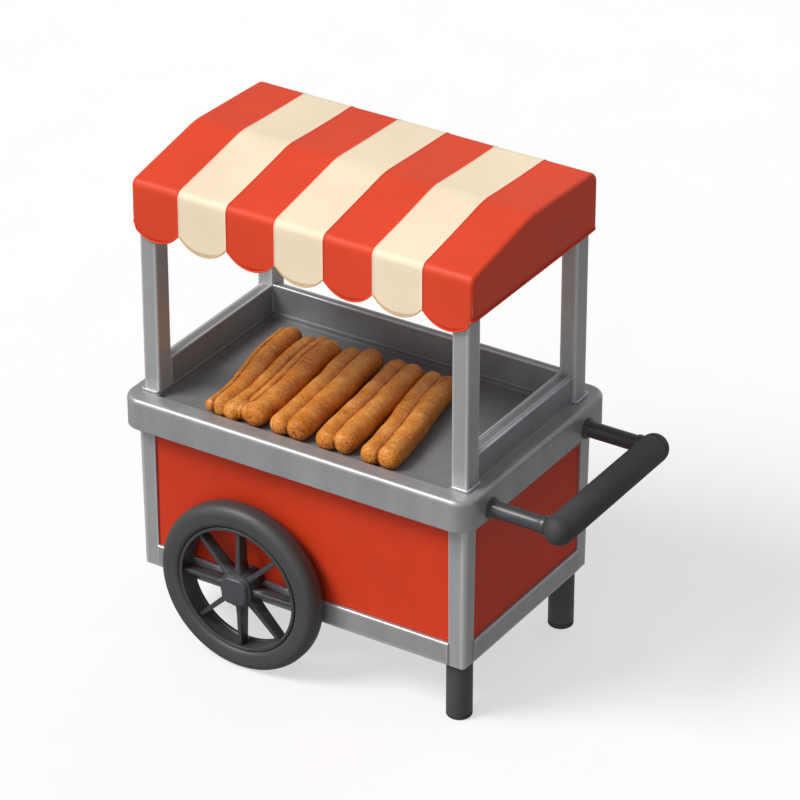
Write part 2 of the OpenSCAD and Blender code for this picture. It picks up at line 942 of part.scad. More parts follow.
module axle_brackets() {
    color(steel)
        both_sides()
            difference() {
                block([wheel_x - bracket_w / 2, -inner_y, body_bottom + 10],
                      [wheel_x + bracket_w / 2, -inner_y + bracket_t, bracket_top]);
                translate([wheel_x, 0, wheel_r])
                    rod_y(axle_hole_r, -side_y, 0);
            }
}

// Bosses seated on rail and panel, each with a nose that holds its wheel off the body
module axle_bosses() {
    color(dark)
        both_sides()
            difference() {
                translate([wheel_x, 0, wheel_r]) {
                    rod_y(boss_r, -boss_out, -panel_y);
                    rod_y(nose_r, -hub_in + seat, -panel_y);
                }
                block([wheel_x - 2 * boss_r, -side_y, body_bottom], [wheel_x + 2 * boss_r, 0, rail_top]);
                translate([wheel_x, 0, wheel_r])
                    rod_y(axle_hole_r, -side_y * 2, 0);
            }
}

// Washer and hexagon nut at each end
module axle_nuts() {
    start = hub_in + hub_w - bore_step + seat;
    color(steel)
        both_sides()
            translate([wheel_x, 0, wheel_r])
                difference() {
                    union() {
                        rod_y(nut_r, -start - washer_h, -start);
                        translate([0, -start - washer_h - nut_h, 0])
                            rotate([-90, 0, 0])
                                cylinder(r = nut_r, h = nut_h, $fn = 6);
                    }
                    rod_y(axle_d / 2, -side_y * 2, 0);
                }
}

// ---- door ----

// Mullion and header that frame the door beside the wheel
module door_frame() {
    color(steel) {
        translate([door_left - door_bar_w, side_y - door_depth / 2, bar_top - top_bar_h])
            rotate([0, 90, 0])
                tube_along_x(bar_top - top_bar_h - rail_top, door_depth, door_bar_w, door_bar_t);
        translate([door_left, side_y - door_depth / 2, door_top])
            tube_along_x(door_right - door_left, door_depth, door_bar_w, door_bar_t);
    }
}

// Pressed door: a face with folded edges, drilled for the latch, with its hinge straps
module rear_door() {
    edge_t = door_sheet_t;
    low = [door_left + door_gap, side_y - door_depth, rail_top + door_gap];
    high = [door_right - door_gap, side_y, door_top - door_gap];
    color(red)
        difference() {
            union() {
                difference() {
                    block(low, high);
                    block(low + [edge_t, -1, edge_t], high - [edge_t, edge_t, edge_t]);
                }
                for (z = hinge_z)
                    translate([hinge_x, hinge_y, z])
                        hinge_half(-1, hinge_l / 3 + seat, hinge_l * 2 / 3 - seat, pin_r + axle_fit);
            }
            translate([latch_x, 0, latch_z])
                rod_y(spindle_r + axle_fit, side_y - edge_t - 1, side_y + 1);
        }
}

// Leaf and knuckle from z0 to z1; the leaf points along side
module hinge_half(side, z0, z1, bore) {
    difference() {
        union() {
            translate([0, 0, z0])
                cylinder(r = knuckle_r, h = z1 - z0);
            translate([side < 0 ? -leaf_w : 0, side_y - hinge_y, z0])
                cube([leaf_w, leaf_t, z1 - z0]);
        }
        translate([0, 0, z0 - 1])
            cylinder(r = bore, h = z1 - z0 + 2);
    }
}

// Fixed halves of the two hinges, each with its pin
module hinge_leaves() {
    color(steel)
        for (z = hinge_z)
            translate([hinge_x, hinge_y, z]) {
                for (span = [[0, hinge_l / 3], [hinge_l * 2 / 3, hinge_l]])
                    hinge_half(1, span[0], span[1], pin_r - 1);
                cylinder(r = pin_r, h = hinge_l);
                translate([knuckle_r + 1, side_y - hinge_y, 0])
                    cube([leaf_w - knuckle_r - 1, leaf_t, hinge_l]);
            }
}

// Knob, spindle and cam of the door's quarter-turn latch, drawn unlocked
module door_latch() {
    color(dark)
        translate([latch_x, 0, latch_z]) {
            rod_y(knob_d / 2, side_y + seat, side_y + 14);
            translate([-4, side_y + 13, -knob_d / 2 + 3])
                cube([8, 12, knob_d - 6]);
            rod_y(spindle_r, side_y - door_depth - 1 - cam_t, side_y + 13);
            translate([-cam_w / 2, side_y - door_depth - 1 - cam_t, -cam_w / 2])
                cube([cam_w, cam_t, cam_l + cam_w / 2]);
        }
}

// ---- tray and rolls ----

module display_tray() {
    half = well_x - tray_gap;
    low = [-half, well_front + tray_gap, tray_floor - tray_t];
    high = [half, well_rear - tray_gap, counter_top - tray_lip];
    color(steel)
        difference() {
            block(low, high);
            block(low + [tray_t, tray_t, tray_t], high + [-tray_t, -tray_t, 1]);
        }
}

// One split roll: two long lobes side by side, flat where they lie
module roll(i) {
    body = roll_l - lobe_d;
    front_y = well_front + tray_gap + tray_t + roll_front + lobe_d / 2 + 8;
    color([0.75, 0.46, 0.18])
        translate([roll_x0 + i * roll_pitch, front_y, tray_floor])
            rotate([0, 0, roll_turn])
                intersection() {
                    translate([0, 0, lobe_d / 2 - 4])
                        for (side = [-1, 1])
                            translate([side * lobe_pitch / 2, 0, 0]) {
                                rod_y(lobe_d / 2, 0, body);
                                sphere(d = lobe_d);
                                translate([0, body, 0])
                                    sphere(d = lobe_d);
                            }
                    translate([-roll_pitch, -lobe_d, 0])
                        cube([2 * roll_pitch, roll_l + lobe_d, 2 * lobe_d]);
                }
}

module at_cart() {
    translate([cart_x, 0, 0])
        children();
}

at_cart() upright(-1, -1);  // upright_front_left
at_cart() upright(1, -1);  // upright_front_right
at_cart() upright(-1, 1);  // upright_rear_left
at_cart() upright(1, 1);  // upright_rear_right
at_cart() bottom_rail_side(-1);  // bottom_rail_front
at_cart() bottom_rail_side(1);  // bottom_rail_rear
at_cart() bottom_rail_end(-1);  // bottom_rail_left
at_cart() bottom_rail_end(1);  // bottom_rail_right
at_cart() top_bars();
at_cart() handle_beam();
at_cart() deck_bearers();
at_cart() floor_deck();
at_cart() front_panel();
at_cart() left_panel();
at_cart() right_panel();
at_cart() rear_panel();
at_cart() counter_rim();
at_cart() tray_shelf();
at_cart() guard_end(-1);  // guard_left
at_cart() guard_end(1);  // guard_right
at_cart() guard_rear();
at_cart() post_feet();
at_cart() post(-1, -1);  // post_front_left
at_cart() post(1, -1);  // post_front_right
at_cart() post(-1, 1);  // post_rear_left
at_cart() post(1, 1);  // post_rear_right
at_cart() awning_ring();
at_cart() roof_hoops();
at_cart() awning_cover();
at_cart() legs();
at_cart() leg_plates();
at_cart() leg_feet();
at_cart() leg_bolts();
at_cart() handle_arms();
at_cart() handle_bar();
at_cart() handle_grip();
at_cart() axle();
at_cart() axle_brackets();
at_cart() axle_bosses();
at_cart() axle_nuts();
at_cart() tyre(-1);  // tyre_front
at_cart() rim_band(-1);  // rim_band_front
at_cart() wheel(-1);  // wheel_front
at_cart() bearings(-1);  // bearings_front
at_cart() hub_cap(-1);  // hub_cap_front
at_cart() tyre(1);  // tyre_rear
at_cart() rim_band(1);  // rim_band_rear
at_cart() wheel(1);  // wheel_rear
at_cart() bearings(1);  // bearings_rear
at_cart() hub_cap(1);  // hub_cap_rear
at_cart() door_frame();
at_cart() rear_door();
at_cart() hinge_leaves();
at_cart() door_latch();
at_cart() display_tray();
for (i = [0 : roll_n - 1])
    at_cart() roll(i);
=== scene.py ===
# %% [markdown]
# # A push vending cart
#
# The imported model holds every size, place and joint of the cart. This lesson dresses it: it
# builds each visible part again with rounded edges and real surfaces, gives every part a
# finish, and lets each new piece ride on the body of the part that it stands for.
# All lengths are in metres. X runs towards the push handle, Y towards the operator, Z up.

# %% Load the frame
import math

import bmesh
import bpy
from mathutils import Matrix, Vector, noise


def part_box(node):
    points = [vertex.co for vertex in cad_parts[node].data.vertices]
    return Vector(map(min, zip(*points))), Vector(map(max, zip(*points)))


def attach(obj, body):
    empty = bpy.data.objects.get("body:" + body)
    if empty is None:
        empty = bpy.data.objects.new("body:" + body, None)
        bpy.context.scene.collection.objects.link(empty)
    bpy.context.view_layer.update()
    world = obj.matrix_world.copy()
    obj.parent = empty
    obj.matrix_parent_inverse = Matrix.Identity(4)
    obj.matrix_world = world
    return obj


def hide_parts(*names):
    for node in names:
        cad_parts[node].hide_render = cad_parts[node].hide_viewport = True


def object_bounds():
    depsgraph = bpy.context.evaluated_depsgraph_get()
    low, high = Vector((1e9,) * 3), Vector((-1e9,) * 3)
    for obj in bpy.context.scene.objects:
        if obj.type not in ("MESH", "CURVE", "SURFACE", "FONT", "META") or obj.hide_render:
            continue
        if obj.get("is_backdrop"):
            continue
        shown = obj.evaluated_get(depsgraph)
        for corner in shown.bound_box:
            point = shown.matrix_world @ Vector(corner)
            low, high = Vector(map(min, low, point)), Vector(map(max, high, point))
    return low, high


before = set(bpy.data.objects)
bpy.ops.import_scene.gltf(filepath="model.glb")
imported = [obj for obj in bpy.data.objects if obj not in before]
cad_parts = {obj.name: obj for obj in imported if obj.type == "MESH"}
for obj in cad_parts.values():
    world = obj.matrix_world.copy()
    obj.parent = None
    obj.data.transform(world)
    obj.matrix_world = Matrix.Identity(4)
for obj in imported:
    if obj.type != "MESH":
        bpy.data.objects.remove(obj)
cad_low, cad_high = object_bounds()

# %% [markdown]
# ## Camera
#
# A long lens far away flattens the perspective, so that the cart's edges stay nearly
# parallel. The camera stands in front of the customer's side, to the right of the middle of
# the cart, and looks down on it. It is aimed by its direction, so no constraint is needed.

# %% Camera
view_turn = math.radians(32.34)
view_tilt = math.radians(29.55)
camera_distance = 15.545
aim = Vector((-0.0103, -0.0065, 0.9651))

look = Vector((
    -math.sin(view_turn) * math.cos(view_tilt),
    math.cos(view_turn) * math.cos(view_tilt),
    -math.sin(view_tilt),
))
camera = bpy.data.objects.new("camera", bpy.data.cameras.new("camera"))
bpy.context.scene.collection.objects.link(camera)
camera.data.sensor_width = 36
camera.data.lens = 198.3
camera.data.clip_end = 60
camera.location = aim - look * camera_distance
camera.rotation_euler = look.to_track_quat("-Z", "Y").to_euler()
bpy.context.scene.camera = camera
print("camera at", [round(x, 3) for x in camera.location])

# %% [markdown]
# ## Studio
#
# A plain pale floor, an even pale sky, one large soft key light from the upper left front and
# two weak fills, one from the customer's side and one from the operator's.
# The floor glows a little, so that its shadows stay pale, but it throws no light on the cart,
# because a white floor this close would light its shaded end and flatten its form.

# %% Studio
scene = bpy.context.scene
scene.view_settings.view_transform = "Standard"

world = bpy.data.worlds.new("studio")
scene.world = world
world.use_nodes = True
sky = world.node_tree.nodes["Background"]
sky.inputs["Color"].default_value = (0.97, 0.985, 1.0, 1)
sky.inputs["Strength"].default_value = 0.30


def sun(name, towards, energy, spread, tint=(1, 1, 1)):
    """A soft sun that shines from a direction."""
    light = bpy.data.lights.new(name, "SUN")
    light.energy = energy
    light.angle = math.radians(spread)
    light.color = tint
    lamp = bpy.data.objects.new(name, light)
    lamp.rotation_euler = Vector(towards).to_track_quat("Z", "Y").to_euler()
    scene.collection.objects.link(lamp)
    return lamp


sun("key", (-0.42, -0.50, 0.76), 2.60, 26, (1.0, 0.985, 0.96))
sun("front_fill", (0.0, -0.95, 0.30), 0.65, 60)
sun("back_fill", (0.0, 0.95, 0.20), 0.40, 60)

# %% [markdown]
# ## Fields: arithmetic on sockets
#
# A material is a small graph. Written as sums and products it is much easier to read, so
# `Field` wraps one output socket, and adding or multiplying fields adds the Math nodes.
# Every other node comes from `add_node`: its settings first, then its sockets.

# %% Fields


def add_node(tree, kind, settings=None, sockets=None, output=0):
    """Adds a node, sets it, fills its sockets with values or links, and returns one output."""
    made = tree.nodes.new(kind)
    for name, value in (settings or {}).items():
        if name == "stops":
            while len(made.color_ramp.elements) < len(value):
                made.color_ramp.elements.new(0.5)
            for element, (place, colour) in zip(made.color_ramp.elements, value):
                element.position = place
                element.color = (*colour, 1)
        else:
            setattr(made, name, value)
    for name, value in (sockets or {}).items():
        if isinstance(value, Field):
            tree.links.new(value.socket, made.inputs[name])
        else:
            made.inputs[name].default_value = value
    return Field(made.outputs[output])


class Field:
    """One output socket; arithmetic on it adds Math nodes."""

    def __init__(self, socket):
        self.socket = socket

    def math(self, operation, *others):
        sockets = dict(enumerate((self, *others)))
        return add_node(self.socket.id_data, "ShaderNodeMath", {"operation": operation}, sockets)

    def __add__(self, other):
        return self.math("ADD", other)

    def __sub__(self, other):
        return self.math("SUBTRACT", other)

    def __mul__(self, other):
        return self.math("MULTIPLY", other)

    def __rsub__(self, other):
        return self * -1 + other

    __radd__ = __add__
    __rmul__ = __mul__

    def clamped(self, low=0.0, high=1.0):
        return self.math("MAXIMUM", low).math("MINIMUM", high)

    def step(self, edge, width):
        """0 below the edge and 1 above it, with a soft change as wide as given."""
        return ((self - edge) * (1 / width) + 0.5).clamped()


def linear(red, green, blue):
    """A display colour, 0 to 255, as the linear colour that shaders use."""
    parts = (red / 255, green / 255, blue / 255)
    return tuple(p / 12.92 if p <= 0.04045 else ((p + 0.055) / 1.055) ** 2.4 for p in parts)


print("grey 128 is", round(linear(128, 128, 128)[0], 3))

# %% [markdown]
# ## Finishes
#
# A finish is a Principled shader with fields for its colour, roughness and bump. The helper
# reads the place on the object, so a pattern has its real size, and it stretches noise along
# the direction in which a surface was brushed, rolled or baked.

# %% Finish


class Finish:
    """A material and short ways to vary it over a surface."""

    def __init__(self, name, roughness, metallic=0.0, coat=0.0):
        self.material = bpy.data.materials.new(name)
        self.material.use_nodes = True
        self.tree = self.material.node_tree
        self.shader = self.tree.nodes["Principled BSDF"]
        self.use({"Roughness": roughness, "Metallic": metallic, "Coat Weight": coat})

    def use(self, sockets):
        """Sets sockets of the shader or links fields to them."""
        for name, value in sockets.items():
            if isinstance(value, Field):
                self.tree.links.new(value.socket, self.shader.inputs[name])
            else:
                self.shader.inputs[name].default_value = value

    def place(self, stretch=(1, 1, 1), turn=0.0):
        """The place on the object, scaled along each axis and turned about Z."""
        spot = add_node(self.tree, "ShaderNodeTexCoord", output="Object")
        turned = {"Vector": spot, "Rotation": (0, 0, turn)}
        spot = add_node(self.tree, "ShaderNodeMapping", {}, turned)
        return add_node(self.tree, "ShaderNodeMapping", {}, {"Vector": spot, "Scale": stretch})

    def noise(self, scale, stretch=(1, 1, 1), detail=2.0, turn=0.0):
        sockets = {"Vector": self.place(stretch, turn), "Scale": scale, "Detail": detail}
        return add_node(self.tree, "ShaderNodeTexNoise", {}, sockets)

    def attribute(self, name):
        """A number stored on the mesh's vertices."""
        return add_node(self.tree, "ShaderNodeAttribute", {"attribute_name": name}, output="Fac")

    def mix(self, share, first, second):
        """A colour between two others."""
        four = [c if isinstance(c, Field) else (*c, 1) for c in (first, second)]
        sockets = {0: share, 6: four[0], 7: four[1]}
        return add_node(self.tree, "ShaderNodeMix", {"data_type": "RGBA"}, sockets, output=2)

    def ramp(self, share, *stops):
        return add_node(self.tree, "ShaderNodeValToRGB", {"stops": stops}, {"Fac": share})

    def bump(self, height, distance, strength=1.0):
        sockets = {"Height": height, "Distance": distance, "Strength": strength}
        self.use({"Normal": add_node(self.tree, "ShaderNodeBump", {}, sockets)})


def shade(colour, factor):
    """The colour made lighter or darker."""
    return tuple(min(1.0, c * factor) for c in colour)


# %% Floor
floor_finish = Finish("pale floor", 0.9)
floor_finish.use({
    "Base Color": floor_finish.mix(floor_finish.noise(3.0, detail=4.0), (0.39,) * 3, (0.41,) * 3),
    "Emission Color": (0.58, 0.58, 0.58, 1),
    "Emission Strength": 1.0,
})
floor_mesh = bmesh.new()
bmesh.ops.create_grid(floor_mesh, x_segments=1, y_segments=1, size=30)
floor_data = bpy.data.meshes.new("floor")
floor_mesh.to_mesh(floor_data)
floor_mesh.free()
floor_data.materials.append(floor_finish.material)
floor = bpy.data.objects.new("floor", floor_data)
floor.visible_diffuse = False
floor.visible_glossy = False
scene.collection.objects.link(floor)
floor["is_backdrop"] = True
print("floor", tuple(round(x, 1) for x in floor.dimensions))

# %% [markdown]
# ## Steel
#
# The frame is satin stainless steel. Each part was brushed along its length before it was
# welded in, so the streaks change direction from part to part: the finishes share one
# recipe and differ in their grey and in the way the noise is stretched. Soft bands of
# painted light run through each colour. The edges are lighter, partly from polish by
# handling and partly as a painted highlight, and the `edge` number on the mesh says where.

# %% Steel


def brushed(name, stretch, colour, roughness, metallic, sheen=(1, 1, 0.12), edge=1.6):
    """Steel brushed along the axis whose stretch is the smallest, with soft bands of light."""
    made = Finish(name, roughness, metallic)
    streaks = made.noise(260, stretch, detail=3.0)
    bands = made.noise(17.0, sheen, detail=2.0)
    hazy = made.noise(5.0, detail=3.0)
    edge_share = made.attribute("edge")
    # The bands are painted light. The lighter edges below are partly polish and partly a painted
    # highlight.
    tone = (streaks - 0.5) * 0.55 + (bands - 0.5) * 0.9 + (hazy - 0.5) * 0.5 + 0.5
    base = made.mix(tone.clamped(), shade(colour, 0.80), shade(colour, 1.16))
    base = made.mix(edge_share * 0.60, base, shade(colour, edge))
    rough = (streaks - 0.5) * 0.16 + (hazy - 0.5) * 0.12 - edge_share * 0.08 + roughness
    made.use({"Base Color": base, "Roughness": rough.clamped(0.12, 0.9)})
    made.bump(streaks, 0.00012, 0.6)
    return made.material


along_x, along_y, along_z = (0.02, 1, 1), (1, 0.02, 1), (1, 1, 0.02)
steel_grey = linear(172, 173, 175)
steel_x = brushed("steel brushed along the cart", along_x, steel_grey, 0.40, 0.45)
steel_y = brushed("steel brushed across the cart", along_y, steel_grey, 0.40, 0.45)
# Painted light: the upright steel is a lighter copy of the same steel, so the posts and uprights
# read brighter than the rim.
steel_z = brushed("steel brushed upright", along_z, linear(182, 183, 185), 0.40, 0.45)
# Painted shade and highlight: the guards are a darker copy of the frame steel, and their edges are
# painted much lighter, as bright lines along the folds.
guard_grey = linear(150, 152, 155)
guard_x = brushed("guard brushed along the cart", along_x, guard_grey, 0.40, 0.45, edge=2.6)
guard_y = brushed("guard brushed across the cart", along_y, guard_grey, 0.40, 0.45, edge=2.6)
tray_grey = linear(136, 140, 144)
tray_steel = brushed("tray steel", along_x, tray_grey, 0.50, 0.30, (1, 1, 1))
bright_steel = brushed("turned steel", (1, 1, 1), linear(185, 185, 186), 0.32, 0.8)
aluminium = brushed("mill aluminium", along_x, linear(178, 180, 183), 0.38, 0.7)
print("steels", len([m for m in bpy.data.materials if "steel" in m.name]))

# %% [markdown]
# ## Paint, rubber, foam and castings
#
# Powder coat has a fine orange peel. Moulded rubber is matt with a dusty bloom. The castings
# of the wheels are powder coated over a sand-cast skin, so their grain is coarser. Foam has
# small open cells, which a cell pattern gives as pits.

# %% Paint and rubber


def coated(name, colour, roughness, grain, depth, coat=0.0, metallic=0.0, worn_to=1.5,
           gloss=0.5):
    """A coated or moulded surface: a fine grain, a soft mottle and lighter edges."""
    made = Finish(name, roughness, metallic, coat)
    made.use({"Specular IOR Level": gloss})
    fine = made.noise(grain, detail=2.0)
    cloudy = made.noise(6.0, detail=3.0)
    edge_share = made.attribute("edge")
    tone = ((fine - 0.5) * 0.5 + (cloudy - 0.5) * 0.9 + 0.5).clamped()
    base = made.mix(tone, shade(colour, 0.88), shade(colour, 1.12))
    base = made.mix(edge_share * 0.35, base, shade(colour, worn_to))
    made.use({
        "Base Color": base,
        "Roughness": ((cloudy - 0.5) * 0.18 + (fine - 0.5) * 0.08 + roughness).clamped(),
    })
    made.bump(fine, depth, 0.5)
    return made.material


panel_red = coated("red powder coat", linear(212, 60, 29), 0.52, 420, 0.00025, worn_to=1.15,
                   gloss=0.25)
leg_black = coated("black powder coat", linear(72, 73, 75), 0.42, 420, 0.0002)
arm_black = coated("black enamel", linear(62, 64, 68), 0.40, 300, 0.0001, coat=0.2)
rubber = coated("tyre rubber", linear(66, 66, 67), 0.50, 500, 0.0003, gloss=0.6)
foot_rubber = coated("foot rubber", linear(58, 58, 59), 0.7, 500, 0.0003)
casting = coated("coated casting", linear(70, 72, 75), 0.40, 240, 0.0004, metallic=0.2)
iron = coated("painted iron", linear(60, 60, 62), 0.5, 200, 0.0004)
latch_black = coated("moulded latch", linear(56, 56, 58), 0.35, 500, 0.0001)

foam_maker = Finish("grip foam", 0.72)
cells = add_node(foam_maker.tree, "ShaderNodeTexVoronoi", {},
                 {"Vector": foam_maker.place(), "Scale": 420})
foam_cloud = foam_maker.noise(9.0, detail=3.0)
foam_tone = (cells * 0.7 + (foam_cloud - 0.5) * 0.8 + 0.25).clamped()
foam_maker.use({
    "Base Color": foam_maker.mix(foam_tone, linear(38, 39, 41), linear(68, 69, 72)),
    "Roughness": (foam_cloud * 0.2 + 0.58).clamped(),
})
foam_maker.bump(cells, 0.0005, 0.6)
foam = foam_maker.material
print("coated finishes", len(bpy.data.materials))

# %% [markdown]
# ## Shapes
#
# Sheet metal and castings have no sharp edges, and light catches on their rounded ones. So
# each block starts as a cube, gets its large corner radii first and then a small round on
# every edge that is left. Round parts are a short profile that is spun round an axis.

# %% Shapes


def box_mesh(low, high):
    """A plain closed box between two corners, ready to be shaped."""
    low, high = Vector(low), Vector(high)
    mesh = bmesh.new()
    scale = Matrix.Diagonal((*(high - low), 1))
    bmesh.ops.create_cube(mesh, size=1, matrix=Matrix.Translation((low + high) / 2) @ scale)
    mesh.normal_update()
    return mesh


def facing(mesh, direction):
    """The face that looks most in a direction."""
    return max(mesh.faces, key=lambda f: f.normal.dot(Vector(direction)))


def block(low, high, radius=0.002, corners=()):
    """A block with round edges. corners holds pairs: a test of an edge, and a larger radius."""
    mesh = box_mesh(low, high)
    for test, large in corners:
        round_edges(mesh, [e for e in mesh.edges if test(e)], large, 8)
    round_edges(mesh, sharp_edges(mesh), radius, 3)
    return mesh


def round_edges(mesh, edges, radius, segments=3):
    bmesh.ops.bevel(mesh, geom=edges, offset=radius, offset_type="OFFSET", affect="EDGES",
                    segments=segments, profile=0.5, material=-1, clamp_overlap=True)


def sharp_edges(mesh, degrees=35):
    """The edges at which the surface turns by more than the angle."""
    least = math.radians(degrees)
    return [e for e in mesh.edges if len(e.link_faces) == 2 and e.calc_face_angle(0) > least]


def middle(edge):
    return (edge.verts[0].co + edge.verts[1].co) / 2


def runs_along(edge, axis):
    return abs((edge.verts[0].co - edge.verts[1].co).normalized()[axis]) > 0.99


def stands(edge):
    return runs_along(edge, 2)


def joined(parts):
    """One bmesh that holds several."""
    whole = bmesh.new()
    for part in parts:
        data = bpy.data.meshes.new("part")
        part.to_mesh(data)
        part.free()
        whole.from_mesh(data)
        bpy.data.meshes.remove(data)
    return whole


def lathe(profile, centre, axis, steps=96, closed=False, rounds=()):
    """Spins points of (radius, place along the axis) round the axis, then rounds the rings.

    rounds holds pairs: a test of a ring edge's radius and place, and the round's radius.
    """
    centre, axis = Vector(centre), Vector(axis)
    side = axis.orthogonal().normalized()
    mesh = bmesh.new()
    points = [mesh.verts.new(centre + side * r + axis * a) for r, a in profile]
    pairs = list(zip(points, points[1:])) + ([(points[-1], points[0])] if closed else [])
    lines = [mesh.edges.new(pair) for pair in pairs]
    bmesh.ops.spin(mesh, geom=points + lines, cent=centre, axis=axis, dvec=(0, 0, 0),
                   angle=2 * math.pi, steps=steps, use_merge=True, use_duplicate=False)
    bmesh.ops.remove_doubles(mesh, verts=mesh.verts, dist=1e-6)
    bmesh.ops.recalc_face_normals(mesh, faces=mesh.faces)

    def ring(edge):
        spot = middle(edge) - centre
        along = spot.dot(axis)
        return (spot - axis * along).length, along

    for test, radius, segments in rounds:
        chosen = [e for e in sharp_edges(mesh) if test(*ring(e))]
        round_edges(mesh, chosen, radius, segments)
    return mesh


def extruded(outline, along, length):
    """A face through the outline's points, pushed along a direction into a solid."""
    mesh = bmesh.new()
    face = mesh.faces.new([mesh.verts.new(p) for p in outline])
    pushed = bmesh.ops.extrude_face_region(mesh, geom=[face])["geom"]
    moved = [v for v in pushed if isinstance(v, bmesh.types.BMVert)]
    bmesh.ops.translate(mesh, verts=moved, vec=Vector(along) * length)
    bmesh.ops.recalc_face_normals(mesh, faces=mesh.faces)
    return mesh


# %% [markdown]
# ## Finishing a piece
#
# The same last steps for every piece. Broad flat faces get a narrow border, which keeps the
# shading flat and gives the lighter edges a place: wear, and on the steel also a painted
# highlight. `edge` is 1 on the round edges and 0 inside the border. Then the piece gets its
# finish, its body and the parts that it stands for.

# %% Finishing


def mark_edges(mesh, border):
    """Insets the broad faces and stores how near each point is to an edge."""
    layer = mesh.verts.layers.float.new("edge")
    for vert in mesh.verts:
        vert[layer] = 1.0
    broad = [f for f in mesh.faces
             if 2 * f.calc_area() / f.calc_perimeter() > 3 * border and len(f.verts) < 40]
    bmesh.ops.inset_individual(mesh, faces=broad, thickness=border, use_even_offset=True)
    for face in broad:
        for vert in face.verts:
            vert[layer] = 0.0


def even_shading(made):
    """Lets the broad faces decide the shading of the round edges beside them."""
    made.modifiers.new("even shading", "WEIGHTED_NORMAL").keep_sharp = True


def finish_piece(name, mesh, body, nodes, material, border=0.006):
    """Makes the object that stands for the nodes, smooth, finished and riding on its body."""
    bmesh.ops.remove_doubles(mesh, verts=mesh.verts, dist=1e-6)
    bmesh.ops.recalc_face_normals(mesh, faces=mesh.faces)
    if border:
        mark_edges(mesh, border)
    data = bpy.data.meshes.new(name)
    mesh.to_mesh(data)
    mesh.free()
    data.materials.append(material)
    data.shade_smooth()
    data.set_sharp_from_angle(angle=math.radians(50))
    made = bpy.data.objects.new(name, data)
    scene.collection.objects.link(made)
    if border:
        even_shading(made)
    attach(made, body)
    if nodes:
        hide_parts(*nodes)
    print(f"{name}: {len(data.polygons)} faces, stands for {', '.join(nodes)}")
    return made


# %% [markdown]
# ## Body frame
#
# Four square tubes stand at the corners, with their outer corner drawn round, and four deep
# rails tie their feet. The lowest outer corners are rounded off, so that the cart doesn't
# catch on a kerb.

# %% Uprights
upright_round = 0.016
foot_round = 0.012
rail_round = 0.006

for end, sx in (("left", -1), ("right", 1)):
    for side, sy in (("front", -1), ("rear", 1)):
        node = f"upright_{side}_{end}"
        low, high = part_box(node)
        centre = (low + high) / 2

        def outer(edge, sx=sx, sy=sy, centre=centre):
            spot = middle(edge) - centre
            return runs_along(edge, 2) and spot.x * sx > 0 and spot.y * sy > 0

        mesh = block(low, high, 0.001, [(outer, upright_round)])
        for vert in mesh.verts:
            rise = vert.co.z - low.z
            if rise < foot_round:
                pull = foot_round - math.sqrt(foot_round ** 2 - (foot_round - rise) ** 2)
                for axis, sign in ((0, sx), (1, sy)):
                    out = max(0.0, sign * (vert.co[axis] - centre[axis]))
                    vert.co[axis] -= sign * pull * out / (high[axis] - centre[axis])
        finish_piece(f"corner_upright_{side}_{end}", mesh, "cart", [node], steel_z)

# %% Bottom rails
for side, finish, along, outward in (("front", steel_x, 0, (0, -1, 0)),
                                      ("rear", steel_x, 0, (0, 1, 0)),
                                      ("left", steel_y, 1, (-1, 0, 0)),
                                      ("right", steel_y, 1, (1, 0, 0))):
    node = f"bottom_rail_{side}"
    low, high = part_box(node)

    def kerb(edge, centre=(low + high) / 2, outward=Vector(outward), along=along):
        spot = middle(edge) - centre
        return runs_along(edge, along) and spot.dot(outward) > 0 and spot.z < 0

    def long_edge(edge, kerb=kerb, along=along):
        return runs_along(edge, along) and edge.is_valid and middle(edge).z > low.z + foot_round

    mesh = block(low, high, 0.0004, [(kerb, foot_round), (long_edge, rail_round)])
    finish_piece(f"foot_rail_{side}", mesh, "cart", [node], finish)

# %% [markdown]
# ## Panels
#
# A panel is a backing sheet with a raised, round-edged face on it. A narrow groove is left
# all round the face, which reads as a dark line against the frame. The face comes from an
# inset and an extrusion of the sheet's outer side.

# %% Panels
groove = 0.004
face_rise = 0.003
face_round = 0.0022


def panel(name, node, outward):
    """A sheet with a raised face on the side that points outward."""
    low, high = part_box(node)
    outward = Vector(outward)
    back_low, back_high = low.copy(), high.copy()
    for axis in range(3):
        if outward[axis] > 0:
            back_high[axis] -= face_rise
        if outward[axis] < 0:
            back_low[axis] += face_rise
    mesh = box_mesh(back_low, back_high)
    face = facing(mesh, outward)
    bmesh.ops.inset_region(mesh, faces=[face], thickness=groove, use_even_offset=True)
    raised = bmesh.ops.extrude_face_region(mesh, geom=[face])["geom"]
    bmesh.ops.delete(mesh, geom=[face], context="FACES_ONLY")
    verts = [v for v in raised if isinstance(v, bmesh.types.BMVert)]
    bmesh.ops.translate(mesh, verts=verts, vec=outward * face_rise)
    top = [e for e in mesh.edges if all(v in verts for v in e.verts)]
    round_edges(mesh, top, face_round, 3)
    return finish_piece(name, mesh, "cart", [node], panel_red, border=0.012)


for side, outward in (("front", (0, -1, 0)), ("rear", (0, 1, 0)),
                      ("left", (-1, 0, 0)), ("right", (1, 0, 0))):
    panel(f"red_panel_{side}", f"{side}_panel", outward)

# %% [markdown]
# ## Counter
#
# The counter is one pressed shell: a flat top with the tray well cut in it, a round top edge,
# a skirt and a turned-in foot. It starts as a closed block with generous corners. Planes then
# cut the top along the well and the underside along the body, the faces inside those cuts are
# taken out, and Solidify gives the shell its wall.

# %% Counter
rim_low, rim_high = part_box("counter_rim")
rim_wall = 0.003
rim_corner = 0.075
rim_round = 0.018
rim_foot = 0.004
well_low, well_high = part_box("display_tray")
well_margin = Vector((0.0008, 0.0008, 0))
well_low, well_high = well_low - well_margin, well_high + well_margin
body_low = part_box("upright_front_left")[0]
body_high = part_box("upright_rear_right")[1]


